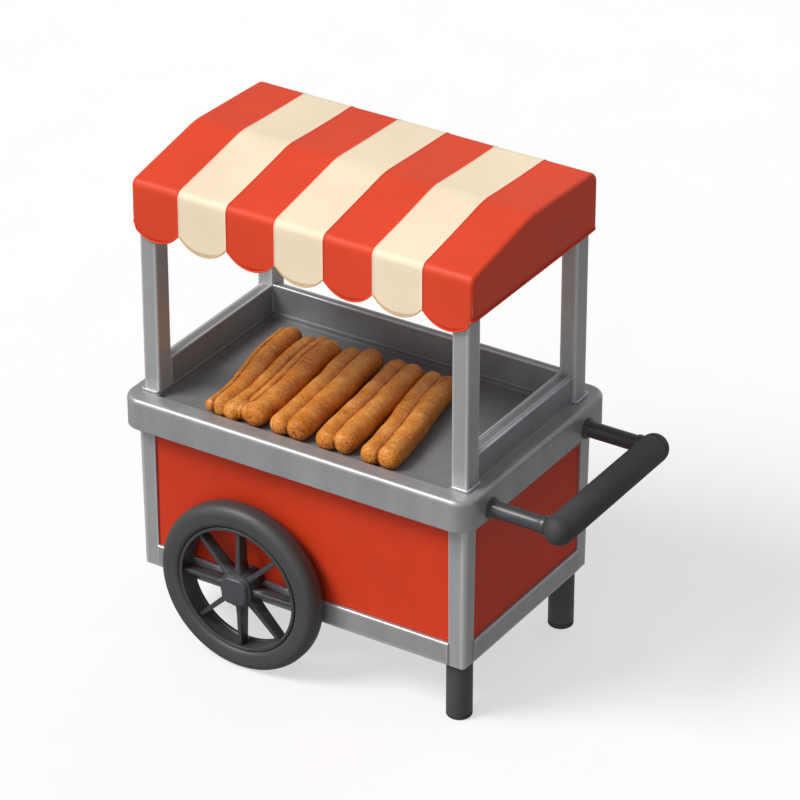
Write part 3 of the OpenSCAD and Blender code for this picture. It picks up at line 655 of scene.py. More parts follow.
def open_face(mesh, height, low, high):
    """Cuts a rectangle out of the horizontal faces at a height."""
    def at_height():
        return [f for f in mesh.faces if all(abs(v.co.z - height) < 1e-5 for v in f.verts)]

    for axis in (0, 1):
        for corner in (low, high):
            faces = at_height()
            edges = {e for f in faces for e in f.edges}
            verts = {v for f in faces for v in f.verts}
            normal = Vector((1 - axis, axis, 0))
            bmesh.ops.bisect_plane(mesh, geom=[*faces, *edges, *verts], plane_co=corner,
                                   plane_no=normal, dist=1e-6)
    inside = [f for f in at_height()
              if low.x < f.calc_center_median().x < high.x
              and low.y < f.calc_center_median().y < high.y]
    bmesh.ops.delete(mesh, geom=inside, context="FACES")


counter = box_mesh(rim_low, rim_high)
round_edges(counter, [e for e in counter.edges if stands(e)], rim_corner, 16)
top_edges = [e for e in sharp_edges(counter) if middle(e).z > rim_high.z - 1e-5]
round_edges(counter, top_edges, rim_round, 6)
foot_edges = [e for e in sharp_edges(counter) if middle(e).z < rim_low.z + 1e-5]
round_edges(counter, foot_edges, rim_foot, 3)
open_face(counter, rim_high.z, well_low, well_high)
open_face(counter, rim_low.z, body_low, body_high)
counter_shell = finish_piece("counter_shell", counter, "cart", ["counter_rim"],
                             steel_x, border=0)
wall = counter_shell.modifiers.new("wall", "SOLIDIFY")
wall.thickness = rim_wall
wall.offset = -1
even_shading(counter_shell)

# %% [markdown]
# ## Tray and guards
#
# The tray is a shallow pan: a closed box whose corners are rounded, and whose top is inset by
# the wall and pushed down, so that it has a true thickness without Solidify. The guards are
# folded channels with a bead on their inner edge and two steps down to the outside. A guard's
# section is drawn once and pushed along its length, and a small round on every fold makes
# the bright lines along its top.

# %% Tray
tray_low, tray_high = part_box("display_tray")
tray_wall = 0.002
pan_corner, pan_under, pan_inside = 0.006, 0.004, 0.0025


pan = box_mesh(tray_low, tray_high)
round_edges(pan, [e for e in pan.edges if stands(e)], pan_corner, 4)
under = [e for e in sharp_edges(pan) if middle(e).z < tray_low.z + 1e-5]
round_edges(pan, under, pan_under, 4)
mouth = facing(pan, (0, 0, 1))
bmesh.ops.inset_region(pan, faces=[mouth], thickness=tray_wall, use_even_offset=True)
sunk = bmesh.ops.extrude_discrete_faces(pan, faces=[mouth])["faces"][0]
depth = tray_high.z - tray_low.z - tray_wall
bmesh.ops.translate(pan, verts=sunk.verts, vec=(0, 0, -depth))
round_edges(pan, list(sunk.edges), pan_inside, 3)

tray_pan = finish_piece("tray_pan", pan, "tray", ["display_tray"], tray_steel,
                        border=0)
even_shading(tray_pan)

# %% Guards
bead = 0.009
step = 0.005
shelf = 0.013
roll_round, fold_round = 0.0036, 0.0018


def guard(name, node, inner, outward, along):
    """A folded channel; inner is the inner bottom edge's start, outward points away from it."""
    low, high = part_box(node)
    height = high.z - low.z
    outward, along = Vector(outward), Vector(along)
    thick = abs((high - low).dot(outward))
    points = [(0, 0), (0, height), (bead, height), (bead, height - step),
              (thick - shelf, height - step), (thick - shelf, height - 2 * step),
              (thick, height - 2 * step), (thick, 0)]
    outline = [Vector(inner) + outward * u + Vector((0, 0, z)) for u, z in points]
    mesh = extruded(outline, along, abs((high - low).dot(along)))
    roll_over = [e for e in sharp_edges(mesh, 60) if middle(e).z > high.z - 1e-4
                 and not runs_along(e, 0 if abs(along.y) > 0.5 else 1)]
    round_edges(mesh, roll_over, roll_round, 5)
    round_edges(mesh, sharp_edges(mesh), fold_round, 3)
    finish = guard_y if abs(along.y) > 0.5 else guard_x
    finish_piece(name, mesh, "cart", [node], finish, border=0.005)


left_low, left_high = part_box("guard_left")
guard("guard_channel_left", "guard_left", (left_high.x, left_low.y, left_low.z),
      (-1, 0, 0), (0, 1, 0))
guard("guard_channel_right", "guard_right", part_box("guard_right")[0], (1, 0, 0), (0, 1, 0))
guard("guard_channel_rear", "guard_rear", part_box("guard_rear")[0], (0, 1, 0), (1, 0, 0))

# %% [markdown]
# ## Posts
#
# Each post is a rectangular tube on a small plate, which reaches a little past the packed
# one on its two outer sides. The four plates are one piece here, since nothing but their
# place differs.

# %% Posts
post_round = 0.006
plate_round, plate_corner = 0.0035, 0.012

for side in ("front", "rear"):
    for end in ("left", "right"):
        node = f"post_{side}_{end}"
        low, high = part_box(node)
        post = block(low, high, 0.002, [(stands, post_round)])
        finish_piece(f"awning_post_{side}_{end}", post, "cart", [node], steel_z)

plates_low, plates_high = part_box("post_feet")
plate_size = Vector((0.072, 0.085, 0))
plate_h, plate_reach = 0.010, 0.004
plates = []
for sx in (0, 1):
    for sy in (0, 1):
        corner = Vector((
            (plates_low.x, plates_high.x - plate_size.x)[sx],
            (plates_low.y, plates_high.y - plate_size.y)[sy],
            plates_low.z,
        ))
        top = corner + plate_size + Vector((0, 0, plate_h))
        for axis, far in ((0, sx), (1, sy)):
            if far:
                top[axis] += plate_reach
            else:
                corner[axis] -= plate_reach
        plates.append(block(corner, top, plate_round, [(stands, plate_corner)]))
finish_piece("post_plates", joined(plates), "cart", ["post_feet"], steel_x,
             border=0.003)

# %% [markdown]
# ## Awning cloth
#
# The cloth is coated canvas with seven stripes that run from front to back. The stripe comes
# from the place along the cart, so it follows the cloth over every bend. A fine weave shows
# through the coating, the welt along each seam carries a painted highlight, and the cream
# stripes are toned by a cloudy pattern, as coated cloth is.

# %% Awning cloth
cover_low, cover_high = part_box("awning_cover")
stripe_count = 7
stripe_w = (cover_high.x - cover_low.x) / stripe_count
cloth_red, cloth_cream = linear(229, 72, 40), linear(252, 231, 202)
hem_cream = linear(214, 180, 130)


def striped(name, cream, rough):
    """Cloth in red and cream stripes across the cart's length."""
    made = Finish(name, rough)
    made.use({"Specular IOR Level": 0.30})
    spot = add_node(made.tree, "ShaderNodeSeparateXYZ", {}, {"Vector": made.place()})
    stripe = ((spot - cover_low.x) * (1 / stripe_w)).clamped(0.01, stripe_count - 0.01)
    is_cream = (stripe * 0.5).math("FRACT").step(0.5, 0.004)
    cloud = made.noise(4.0, detail=4.0)
    threads_x = made.noise(1500, (1, 0.06, 0.06), detail=1.0)
    threads_y = made.noise(1500, (0.06, 1, 0.06), detail=1.0)
    weave = threads_x + threads_y
    seam = made.attribute("seam")
    tone = ((cloud - 0.5) * 1.2 + (weave - 1.0) * 0.35 + 0.5).clamped()
    red = made.mix(tone, shade(cloth_red, 0.88), shade(cloth_red, 1.06))
    pale = made.mix(tone, shade(cream, 0.90), shade(cream, 1.04))
    base = made.mix(is_cream, red, pale)
    lit = made.mix(is_cream, shade(cloth_red, 1.15), linear(255, 248, 232))
    # The welt along each seam is painted lighter: a painted highlight.
    made.use({
        "Base Color": made.mix(seam * 0.7, base, lit),
        "Roughness": ((cloud - 0.5) * 0.2 - seam * 0.1 + rough).clamped(),
    })
    made.bump(weave, 0.00035, 0.35)
    return made.material


cloth = striped("striped awning cloth", cloth_cream, 0.5)
hem_cloth = striped("awning hem tape", hem_cream, 0.55)
print("stripes", stripe_count, "each", round(stripe_w, 4))

# %% [markdown]
# ## Awning cover
#
# The cover is one sheet over a bent roof. Its section across the cart is a face with five
# corners, whose three upper ones are bevelled as the cloth bends over the roof's frame.
# Extruded along the cart and opened below, it is a sheet with two gables. It is then cut
# into narrow strips, so that it can sag a little between its hoops, carry a welt along each
# stripe, and drop a scallop from each stripe's front edge.

# %% Awning section
skirt_z = 1.615
front_top = Vector((0, cover_low.y, 1.780))
crease = Vector((0, -0.025, cover_high.z))
rear_top = Vector((0, cover_high.y, 1.838))
scallop_drop = skirt_z - cover_low.z
gable_round = 0.016
corner_rounds = {"front": 0.024, "crease": 0.030, "rear": 0.040}

corners = [Vector((0, cover_low.y, skirt_z)), front_top, crease, rear_top,
           Vector((0, cover_high.y, skirt_z))]
cover = extruded([c + Vector((cover_low.x, 0, 0)) for c in corners], (1, 0, 0),
                 cover_high.x - cover_low.x)
for corner, key in ((front_top, "front"), (crease, "crease"), (rear_top, "rear")):
    bend = [e for e in cover.edges if runs_along(e, 0)
            and (middle(e) - corner).yz.length < 0.002]
    round_edges(cover, bend, corner_rounds[key], 8)
cover.normal_update()
bmesh.ops.delete(cover, geom=[f for f in cover.faces if f.normal.z < -0.9], context="FACES")
gables = [e for e in sharp_edges(cover) if min(abs(middle(e).x - cover_low.x),
                                               abs(middle(e).x - cover_high.x)) < 1e-4]
round_edges(cover, gables, gable_round, 5)


def cut(mesh, spot, normal):
    """Cuts every face of the mesh along a plane."""
    bmesh.ops.bisect_plane(mesh, geom=[*mesh.faces, *mesh.edges, *mesh.verts],
                           plane_co=spot, plane_no=normal, dist=1e-6)


# %% Awning cuts
cuts_per_stripe = 18
welt_half = 0.0035
welt_rise = 0.0022
seams = [cover_low.x + stripe_w * i for i in range(1, stripe_count)]
for i in range(1, stripe_count * cuts_per_stripe):
    cut(cover, Vector((cover_low.x + stripe_w * i / cuts_per_stripe, 0, 0)), (1, 0, 0))
for seam_x in seams:
    for offset in (-welt_half, welt_half):
        cut(cover, Vector((seam_x + offset, 0, 0)), (1, 0, 0))
roof_rows = 18
for i in range(1, roof_rows):
    row_y = cover_low.y + (cover_high.y - cover_low.y) * i / roof_rows
    cut(cover, Vector((0, row_y, 0)), (0, 1, 0))
for row_z in (1.65, 1.69, 1.73):
    cut(cover, Vector((0, 0, row_z)), (0, 0, 1))
cover.normal_update()
print("cover strips", len(cover.faces))

# %% [markdown]
# The scallops are arcs whose chord is a stripe's width. The skirt's front edge is extruded
# down, and each new point goes down by the arc's depth at its place. The sag is a few
# millimetres: zero at the hoops and at the edges, most in the middle of each bay.

# %% Scallops and sag
arc_r = (stripe_w ** 2 / 4 + scallop_drop ** 2) / (2 * scallop_drop)
sag = 0.0035


def arc_depth(x):
    """How far the scallop under a place along the cart hangs below the skirt."""
    off = (x - cover_low.x) % stripe_w - stripe_w / 2
    return max(0.0, math.sqrt(max(0.0, arc_r ** 2 - off ** 2)) - (arc_r - scallop_drop))


seam_layer = cover.verts.layers.float.new("seam")
front_hem = [e for e in cover.edges if len(e.link_faces) == 1
             and middle(e).y < cover_low.y + 1e-4 and middle(e).z < skirt_z + 1e-4]
rows = 3
for row in range(1, rows + 1):
    pushed = bmesh.ops.extrude_edge_only(cover, edges=front_hem)["geom"]
    for vert in (v for v in pushed if isinstance(v, bmesh.types.BMVert)):
        vert.co.z = skirt_z - arc_depth(vert.co.x) * row / rows
    front_hem = [e for e in pushed if isinstance(e, bmesh.types.BMEdge)
                 and len(e.link_faces) == 1]
    front_hem = [e for e in front_hem if not runs_along(e, 2)]
bmesh.ops.remove_doubles(cover, verts=cover.verts, dist=1e-5)
bmesh.ops.recalc_face_normals(cover, faces=cover.faces)
cover.normal_update()

hoops = 3
bay = (cover_high.x - cover_low.x) / (hoops - 1)
for vert in cover.verts:
    along = (vert.co.x - cover_low.x) / bay % 1
    across = (vert.co.y - cover_low.y) / (cover_high.y - cover_low.y)
    on_roof = max(0.0, vert.normal.z)
    fall = math.sin(math.pi * along) ** 2 * abs(math.sin(2 * math.pi * across)) ** 0.8
    near_seam = min(abs(vert.co.x - s) for s in seams)
    vert.co.z -= sag * fall * on_roof
    if near_seam < 1e-4:
        vert.co += vert.normal * welt_rise
        vert[seam_layer] = 1.0
cover_area = sum(f.calc_area() for f in cover.faces)

# %% [markdown]
# ## Hem tape
#
# A tape is folded round the cloth's lower edge. Its line is the open edge of the sheet, taken
# before the sheet gets its thickness. The loop of points becomes a closed curve with a round
# bevel, which is then turned into a mesh. The line is eased twice, so that the tape turns the
# corners of the scallops without a spike.

# %% Hem line


def boundary_loop(mesh):
    """The points of the mesh's one open edge, in order."""
    start = next(v for v in mesh.verts if v.is_boundary)
    loop, last, here = [start.co.copy()], None, start
    while True:
        nexts = [e.other_vert(here) for e in here.link_edges if e.is_boundary]
        step_to = next(v for v in nexts if v is not last)
        if step_to is start:
            return loop
        last, here = here, step_to
        loop.append(here.co.copy())


hem_points = boundary_loop(cover)
for _ in range(2):
    hem_points = [(before + here * 2 + after) / 4 for before, here, after in zip(
        hem_points[-1:] + hem_points[:-1], hem_points, hem_points[1:] + hem_points[:1])]
cloth_t = 0.003
cover_piece = finish_piece("awning_cloth", cover, "cart", ["awning_cover"],
                           cloth, border=0)
wall = cover_piece.modifiers.new("cloth", "SOLIDIFY")
wall.thickness = cloth_t
wall.offset = -1


def tape_along(name, points, radius):
    """A round tape along a closed line of points, as a mesh."""
    curve = bpy.data.curves.new(name, "CURVE")
    curve.dimensions = "3D"
    curve.bevel_depth = radius
    curve.bevel_resolution = 3
    line = curve.splines.new("POLY")
    line.points.add(len(points) - 1)
    for point, spot in zip(line.points, points):
        point.co = (*spot, 1)
    line.use_cyclic_u = True
    holder = bpy.data.objects.new(name + "_line", curve)
    data = bpy.data.meshes.new_from_object(holder)
    bpy.data.objects.remove(holder)
    mesh = bmesh.new()
    mesh.from_mesh(data)
    bpy.data.meshes.remove(data)
    return mesh


hem_r = 0.0032
hem_lift = Vector((0, 0, 0.001))
hem = tape_along("hem", [p + hem_lift for p in hem_points], hem_r)
hem_piece = finish_piece("awning_hem_tape", hem, "cart", [], hem_cloth, border=0)

# %% [markdown]
# ## Wheels
#
# A moulded tyre sits on a steel band, and a cast spider of eight flat spokes and a hub holds
# the band. The tyre is a spun ring with large shoulders. A spoke is a block that is drawn in
# towards the band, and its foot flares into the hub.

# %% Wheels
bead_round = 0.022
shoulder_round = 0.036
spoke_count = 8
spoke_t, spoke_w = 0.018, 0.046
flare_end = 0.36
hub_r, hub_half = 0.066, 0.040
flange_r = 0.065
cap_half, cap_h = 0.060, 0.020
cap_corner, cap_round, cap_taper = 0.038, 0.010, 0.90
tyre_h = 0.084
spoke_root, spoke_tip = 0.045, 0.2385


def ring_profile(inner, outer, half):
    return [(inner, -half), (outer, -half), (outer, half), (inner, half)]


def tyre(side, centre, body):
    """A solid moulded tyre with round shoulders."""
    low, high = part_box(f"tyre_{side}")
    outer = (high.z - low.z) / 2
    half = (high.y - low.y) / 2
    inner = outer - tyre_h
    mesh = lathe(ring_profile(inner, outer, half), centre, (0, 1, 0), 128, True, [
        (lambda r, a: r > (inner + outer) / 2, shoulder_round, 10),
        (lambda r, a: r < (inner + outer) / 2 and abs(a) > half * 0.99, bead_round, 5),
    ])
    return finish_piece(f"tyre_moulded_{side}", mesh, body, [f"tyre_{side}"],
                        rubber, border=0)


def band(side, centre, body):
    """The band under the tyre, with a rolled lip at each edge."""
    low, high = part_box(f"rim_band_{side}")
    outer = (high.z - low.z) / 2
    half = (high.y - low.y) / 2
    wall_t, lip_t, lip_w = 0.006, 0.012, 0.010
    profile = [(outer, -half), (outer, half), (outer - lip_t, half), (outer - lip_t, half - lip_w),
               (outer - wall_t, half - lip_w - 0.006), (outer - wall_t, -half + lip_w + 0.006),
               (outer - lip_t, -half + lip_w), (outer - lip_t, -half)]
    mesh = lathe(profile, centre, (0, 1, 0), 128, True, [(lambda r, a: True, 0.002, 3)])
    return finish_piece(f"wheel_band_{side}", mesh, body, [f"rim_band_{side}"],
                        casting, border=0)


def spoke(centre, turn, out):
    """A flat blade from the hub to the band, thickest at its root."""
    length = spoke_tip - spoke_root
    mesh = box_mesh((-spoke_t / 2, -spoke_w / 2, spoke_root), (spoke_t / 2, spoke_w / 2, spoke_tip))
    for share in (0.16, flare_end):
        cut(mesh, Vector((0, 0, spoke_root + length * share)), (0, 0, 1))
    for vert in mesh.verts:
        reach = (vert.co.z - spoke_root) / length
        flare = 1 + 1.3 * max(0.0, 1 - reach / flare_end) ** 2
        vert.co.x *= flare * (1.08 - 0.20 * reach)
        vert.co.y *= 1.22 - 0.30 * reach
    round_edges(mesh, sharp_edges(mesh, 60), 0.0035, 4)
    bmesh.ops.rotate(mesh, verts=mesh.verts, matrix=Matrix.Rotation(turn, 3, "Y"))
    bmesh.ops.translate(mesh, verts=mesh.verts, vec=Vector(centre) + Vector((0, out * 0.002, 0)))
    return mesh


def spider(side, centre, out, body):
    """Hub and spokes, cast in one."""
    spokes = [spoke(centre, math.tau * i / spoke_count, out) for i in range(spoke_count)]
    hub = lathe([(0.026, -hub_half), (0.050, -hub_half), (hub_r, -0.026), (hub_r, 0.018),
                 (0.056, hub_half), (0.026, hub_half)], centre, (0, out, 0), 64, True,
                [(lambda r, a: r > 0.03, 0.004, 3)])
    return finish_piece(f"wheel_spider_{side}", joined([hub, *spokes]), body,
                        [f"wheel_{side}"], casting, border=0)


def cap(side, centre, out, body):
    """A round-cornered cap with a raised, slightly domed face."""
    face = Vector(centre) + Vector((0, out * hub_half, 0))
    low = face - Vector((cap_half, 0, cap_half))
    high = face + Vector((cap_half, out * cap_h, cap_half))
    low.y, high.y = sorted((low.y, high.y))
    mesh = box_mesh(low, high)
    round_edges(mesh, [e for e in mesh.edges if runs_along(e, 1)], cap_corner, 10)
    mesh.normal_update()
    front = facing(mesh, (0, out, 0))
    for vert in front.verts:
        vert.co.x = face.x + (vert.co.x - face.x) * cap_taper
        vert.co.z = face.z + (vert.co.z - face.z) * cap_taper
    round_edges(mesh, list(front.edges), cap_round, 6)
    flange = lathe([(0.0, 0.0), (flange_r, 0.0), (flange_r, 0.005), (0.0, 0.005)], face,
                   (0, out, 0), 64, False, [(lambda r, a: r > 0.05, 0.002, 3)])
    return finish_piece(f"hub_cover_{side}", joined([mesh, flange]), body,
                        [f"hub_cap_{side}"], casting, border=0.004)


for side, out in (("front", -1), ("rear", 1)):
    low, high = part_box(f"tyre_{side}")
    centre = (low + high) / 2
    body = f"{side}_wheel"
    tyre(side, centre, body)
    band(side, centre, body)
    spider(side, centre, out, body)
    cap(side, centre, out, body)

# %% Axle bosses
boss_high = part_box("axle_bosses")[1]
axle_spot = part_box("axle")
axle_centre = (axle_spot[0] + axle_spot[1]) / 2
boss_r, sleeve_r, bore_r = 0.050, 0.022, 0.0155
side_y = body_high.y
boss_profile = [(bore_r, side_y - 0.010), (boss_r, side_y - 0.010), (boss_r, side_y + 0.009),
                (0.030, side_y + 0.012), (sleeve_r, side_y + 0.016), (sleeve_r, boss_high.y),
                (bore_r, boss_high.y)]
boss_spot = (axle_centre.x, 0, axle_centre.z)
bosses = [lathe(boss_profile, boss_spot, (0, out, 0), 64, True,
                [(lambda r, a: r > 0.02, 0.002, 3)]) for out in (-1, 1)]
finish_piece("axle_boss_pair", joined(bosses), "cart", ["axle_bosses"], iron,
             border=0)

# %% [markdown]
# ## Roof frame
#
# Under the cloth lie three bent hoops of square bar on a ring of angle. A hoop is the roof's
# own section, set in by the cloth, with its corners bent to the same radii and its inside cut
# away by a second, smaller section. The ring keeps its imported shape.

# %% Hoops
hoop_low, hoop_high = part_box("roof_hoops")
hoop_w = 0.024
ring_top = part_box("awning_ring")[0].z + 0.003
under_cloth = 0.0045


def roof_section(inset, foot):
    """The five corners of the roof's section, set in from the cloth."""
    half = hoop_high.y - inset
    drop = inset * 1.02
    crease_z = hoop_high.z - drop
    front_z = front_top.z - under_cloth - drop
    rear_z = rear_top.z - under_cloth - drop
    return [Vector((0, -half, foot)), Vector((0, -half, front_z)), Vector((0, crease.y, crease_z)),
            Vector((0, half, rear_z)), Vector((0, half, foot))]


hoop_parts = []
for share in (0, 0.5, 1):
    hoop_x = hoop_low.x + (hoop_high.x - hoop_low.x - hoop_w) * share
    shift = Vector((hoop_x, 0, 0))
    outside = [p + shift for p in roof_section(0, ring_top)]
    inside = [p + shift for p in roof_section(hoop_w, ring_top)]
    mesh = extruded(outside + inside[::-1], (1, 0, 0), hoop_w)
    for corner, radius in ((1, 0.022), (2, 0.028), (3, 0.040)):
        for line, less in ((outside, 0.0), (inside, 0.012)):
            bend = [e for e in mesh.edges if runs_along(e, 0)
                    and (middle(e) - line[corner]).yz.length < 0.002]
            round_edges(mesh, bend, radius - less, 6)
    round_edges(mesh, [e for e in sharp_edges(mesh, 60) if not runs_along(e, 0)], 0.002, 2)
    hoop_parts.append(mesh)
finish_piece("bent_hoops", joined(hoop_parts), "cart", ["roof_hoops"],
             aluminium, border=0)

# %% [markdown]
# ## Legs and handle
#
# The legs are plain tubes with a rubber foot, and a fine groove shows where the foot begins.
# The handle's arms are enamelled tubes. Each arm has a flange where it leaves the counter and
# a collar where it enters the grip, which is a foam sleeve with domed ends.

# %% Legs
leg_low, leg_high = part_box("legs")
feet_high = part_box("leg_feet")[1]
leg_r = (leg_high.x - leg_low.x) / 2
leg_x = (leg_high.x + leg_low.x) / 2
leg_tubes, leg_boots = [], []
for leg_y in (leg_low.y + leg_r, leg_high.y - leg_r):
    foot = (leg_x, leg_y, 0)
    leg_tubes.append(lathe(
        [(leg_r - 0.004, leg_low.z), (leg_r, leg_low.z), (leg_r, leg_high.z),
         (leg_r - 0.004, leg_high.z)],
        foot, (0, 0, 1), 64, True, [(lambda r, a: r > leg_r - 0.001, 0.0012, 3)]))
    leg_boots.append(lathe(
        [(0, 0), (leg_r, 0), (leg_r, leg_low.z - 0.0005), (leg_r - 0.005, leg_low.z - 0.0005),
         (leg_r - 0.005, feet_high.z), (0, feet_high.z)],
        foot, (0, 0, 1), 64, False, [(lambda r, a: a < 0.001, 0.008, 5),
                                     (lambda r, a: r > leg_r - 0.001 and a > 0.015, 0.0015, 3)]))
finish_piece("leg_tubes", joined(leg_tubes), "cart", ["legs"], leg_black, border=0)
finish_piece("leg_boots", joined(leg_boots), "cart", ["leg_feet"], foot_rubber,
             border=0)

plate_low, plate_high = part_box("leg_plates")
plate_margin = Vector((0.011, 0.011, 0))
plate_low, plate_high = plate_low + plate_margin, plate_high - plate_margin
plate_side = plate_high.x - plate_low.x
leg_flanges = []
for start_y in (plate_low.y, plate_high.y - plate_side):
    corner = Vector((plate_low.x, start_y, plate_low.z))
    top = Vector((plate_high.x, start_y + plate_side, plate_high.z))
    leg_flanges.append(block(corner, top, 0.0015, [(stands, plate_corner)]))
finish_piece("leg_flanges", joined(leg_flanges), "cart", ["leg_plates"], leg_black)

# %% Handle arms
arm_low, arm_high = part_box("handle_arms")
grip_low, grip_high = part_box("handle_grip")
arm_r = (arm_high.z - arm_low.z) / 2
grip_r = (grip_high.z - grip_low.z) / 2
grip_x = (grip_low.x + grip_high.x) / 2
arm_z = (arm_low.z + arm_high.z) / 2
counter_face = rim_high.x
flange_lip, collar_lip = 0.009, 0.005
arms = []
for arm_y in (arm_low.y + arm_r, arm_high.y - arm_r):
    start = Vector((arm_low.x, arm_y, arm_z))
    face = counter_face - arm_low.x
    end = grip_x - grip_r - arm_low.x
    arms.append(lathe(
        [(arm_r - 0.003, 0), (arm_r, 0), (arm_r, face), (arm_r + flange_lip, face),
         (arm_r + flange_lip, face + 0.007), (arm_r, face + 0.010), (arm_r, end - 0.012),
         (arm_r + collar_lip, end - 0.010), (arm_r + collar_lip, end + 0.006), (arm_r, end + 0.012),
         (arm_r, end + grip_r * 0.6), (arm_r - 0.003, end + grip_r * 0.6)],
        start, (1, 0, 0), 64, True, [(lambda r, a: r > arm_r - 0.001, 0.0015, 3)]))
finish_piece("handle_tubes", joined(arms), "cart", ["handle_arms"], arm_black,
             border=0)

# %% Grip
half_grip = (grip_high.y - grip_low.y) / 2 - grip_r
dome_steps = 14
dome = [(grip_r * math.sin(math.pi / 2 * i / dome_steps),
         half_grip + grip_r * math.cos(math.pi / 2 * i / dome_steps))
        for i in range(dome_steps + 1)]
ring = 0.0012
seam_at = half_grip - 0.004
upper = dome + [(grip_r, seam_at + ring), (grip_r - ring, seam_at), (grip_r, seam_at - ring)]
profile = upper + [(r, -a) for r, a in reversed(upper)]
grip = lathe(profile, (grip_x, 0, arm_z), (0, 1, 0), 96)
finish_piece("grip_sleeve", grip, "cart", ["handle_grip"], foam, border=0)

# %% [markdown]
# ## Door
#
# The operator's side has a pressed door beside the wheel. Like the panels it has a raised
# face, and its edges are folded back. The latch is a round rose with a bar to turn it by.

# %% Door
door_low, door_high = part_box("rear_door")
door_face_y = body_high.y
door_sheet, door_gap = 0.002, 0.003
latch_low, latch_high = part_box("door_latch")
knob_r = (latch_high.x - latch_low.x) / 2
sheet_high = Vector((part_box("door_frame")[1].x - door_gap, door_face_y - 0.001, door_high.z))
door = box_mesh(door_low, sheet_high)
inner, outer = facing(door, (0, -1, 0)), facing(door, (0, 1, 0))
bmesh.ops.inset_region(door, faces=[inner], thickness=door_sheet, use_even_offset=True)
hollow = (0, sheet_high.y - door_low.y - door_sheet, 0)
bmesh.ops.translate(door, verts=inner.verts, vec=hollow)
for inset, rise in ((0.030, 0.0), (0.008, 0.001)):
    bmesh.ops.inset_region(door, faces=[outer], thickness=inset, use_even_offset=True)
    bmesh.ops.translate(door, verts=outer.verts, vec=(0, rise, 0))
folds = [e for e in sharp_edges(door, 60) if middle(e).y > sheet_high.y - 0.001]
round_edges(door, folds, 0.003, 4)
knuckles = []
leaf_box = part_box("hinge_leaves")
knuckle_r, pin_r = 0.006, 0.0031
knuckle_foot, knuckle_top = 0.0203, 0.0397
leaf_length = 0.060
hinge_x = leaf_box[0].x + knuckle_r
hinge_y = leaf_box[1].y - knuckle_r
knuckle = [(pin_r, knuckle_foot), (knuckle_r, knuckle_foot), (knuckle_r, knuckle_top),
           (pin_r, knuckle_top)]
for base_z in (leaf_box[0].z, leaf_box[1].z - leaf_length):
    knuckles.append(lathe(knuckle, (hinge_x, hinge_y, base_z), (0, 0, 1), 32, True,
                          [(lambda r, a: r > 0.005, 0.0006, 2)]))
    knuckles.append(block((hinge_x - 0.028, door_face_y - 0.001, base_z + knuckle_foot),
                          (hinge_x, hinge_y - 0.0037, base_z + knuckle_top), 0.0006))
finish_piece("door_leaf", joined([door, *knuckles]), "door", ["rear_door"],
             panel_red, border=0.005)

# %% Latch
latch_x = (latch_low.x + latch_high.x) / 2
knob_z = latch_low.z + knob_r
spindle = (latch_x, 0, knob_z)
rose = lathe([(0, door_face_y + 0.0003), (knob_r, door_face_y + 0.0003),
              (knob_r, door_face_y + 0.009), (knob_r - 0.006, door_face_y + 0.014),
              (0, door_face_y + 0.014)], spindle, (0, 1, 0), 64, False,
             [(lambda r, a: r > 0.01, 0.0015, 3)])
bar = block((latch_x - 0.004, door_face_y + 0.013, knob_z - knob_r + 0.003),
            (latch_x + 0.004, latch_high.y, knob_z + knob_r - 0.003), 0.002)
pin = lathe([(0, latch_low.y), (0.005, latch_low.y), (0.005, door_face_y + 0.013),
             (0, door_face_y + 0.013)], spindle, (0, 1, 0), 24)
cam = block((latch_x - 0.009, latch_low.y, knob_z - 0.009),
            (latch_x + 0.009, latch_low.y + 0.005, latch_high.z), 0.001)
finish_piece("latch_knob", joined([rose, bar, pin, cam]), "latch", ["door_latch"],
             latch_black, border=0)

# %% [markdown]
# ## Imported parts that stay
#
# Inner parts and small hardware are right as they are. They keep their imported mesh, which is
# never changed, and only get a finish in place of the plain one.

# %% Inner parts
kept_parts = {
    steel_x: ["top_bars", "tray_shelf", "deck_bearers"],
    steel_y: ["handle_beam"],
    steel_z: ["door_frame"],
    aluminium: ["floor_deck", "awning_ring"],
    bright_steel: ["leg_bolts", "axle_nuts", "hinge_leaves", "axle", "axle_brackets",
                   "bearings_front", "bearings_rear"],
    arm_black: ["handle_bar"],
}
for material, nodes in kept_parts.items():
    for node in nodes:
        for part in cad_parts[node].material_slots:
            part.link = "OBJECT"
            part.material = material
print("kept", sum(len(n) for n in kept_parts.values()))

# %% [markdown]
# ## Bread crust
#
# The crust's colour follows a number on the mesh: it is low in the folds between the lobes,
# which is painted shade, higher where the crust faces up, which is painted light, and uneven
# from spot to spot. The colours run from dark brown up to a painted highlight on the ridges,
# and short wrinkles across the roll break them up. A few pale flecks on the lit parts are
# painted glints.

# %% Crust


def crust(name):
    made = Finish(name, 0.50)
    made.use({"Specular IOR Level": 0.35})
    toast = made.attribute("toast")
    wrinkles = made.noise(230, (0.5, 1.2, 0.6), detail=3.0, turn=-roll_turn)
    blotches = made.noise(24, (1, 0.6, 1), detail=4.0, turn=-roll_turn)
    flecks = made.noise(260, (0.5, 1.6, 0.8), detail=2.0, turn=-roll_turn)
    patch = made.noise(9, detail=2.0)
    baked = (toast + (blotches - 0.5) * 0.5 + (wrinkles - 0.5) * 1.35).clamped()
    # The ramp runs from painted shade in the folds to a painted highlight at its pale end.
    colour = made.ramp(baked, (0.0, linear(80, 32, 6)), (0.28, linear(146, 72, 14)),
                       (0.52, linear(198, 114, 30)), (0.78, linear(218, 138, 50)),
                       (1.0, linear(236, 170, 88)))
    # Pale flecks where the crust is lit: painted glints.
    white = flecks.step(0.62, 0.06) * patch.step(0.56, 0.08) * toast
    made.use({
        "Base Color": made.mix(white * 0.8, colour, linear(248, 216, 164)),
        "Roughness": ((wrinkles - 0.5) * 0.35 + 0.50).clamped(),
    })
    made.bump(wrinkles * 0.7 + flecks * 0.3, 0.0014, 0.8)
    return made.material


roll_turn = math.radians(7)
roll_crust = crust("roll crust")

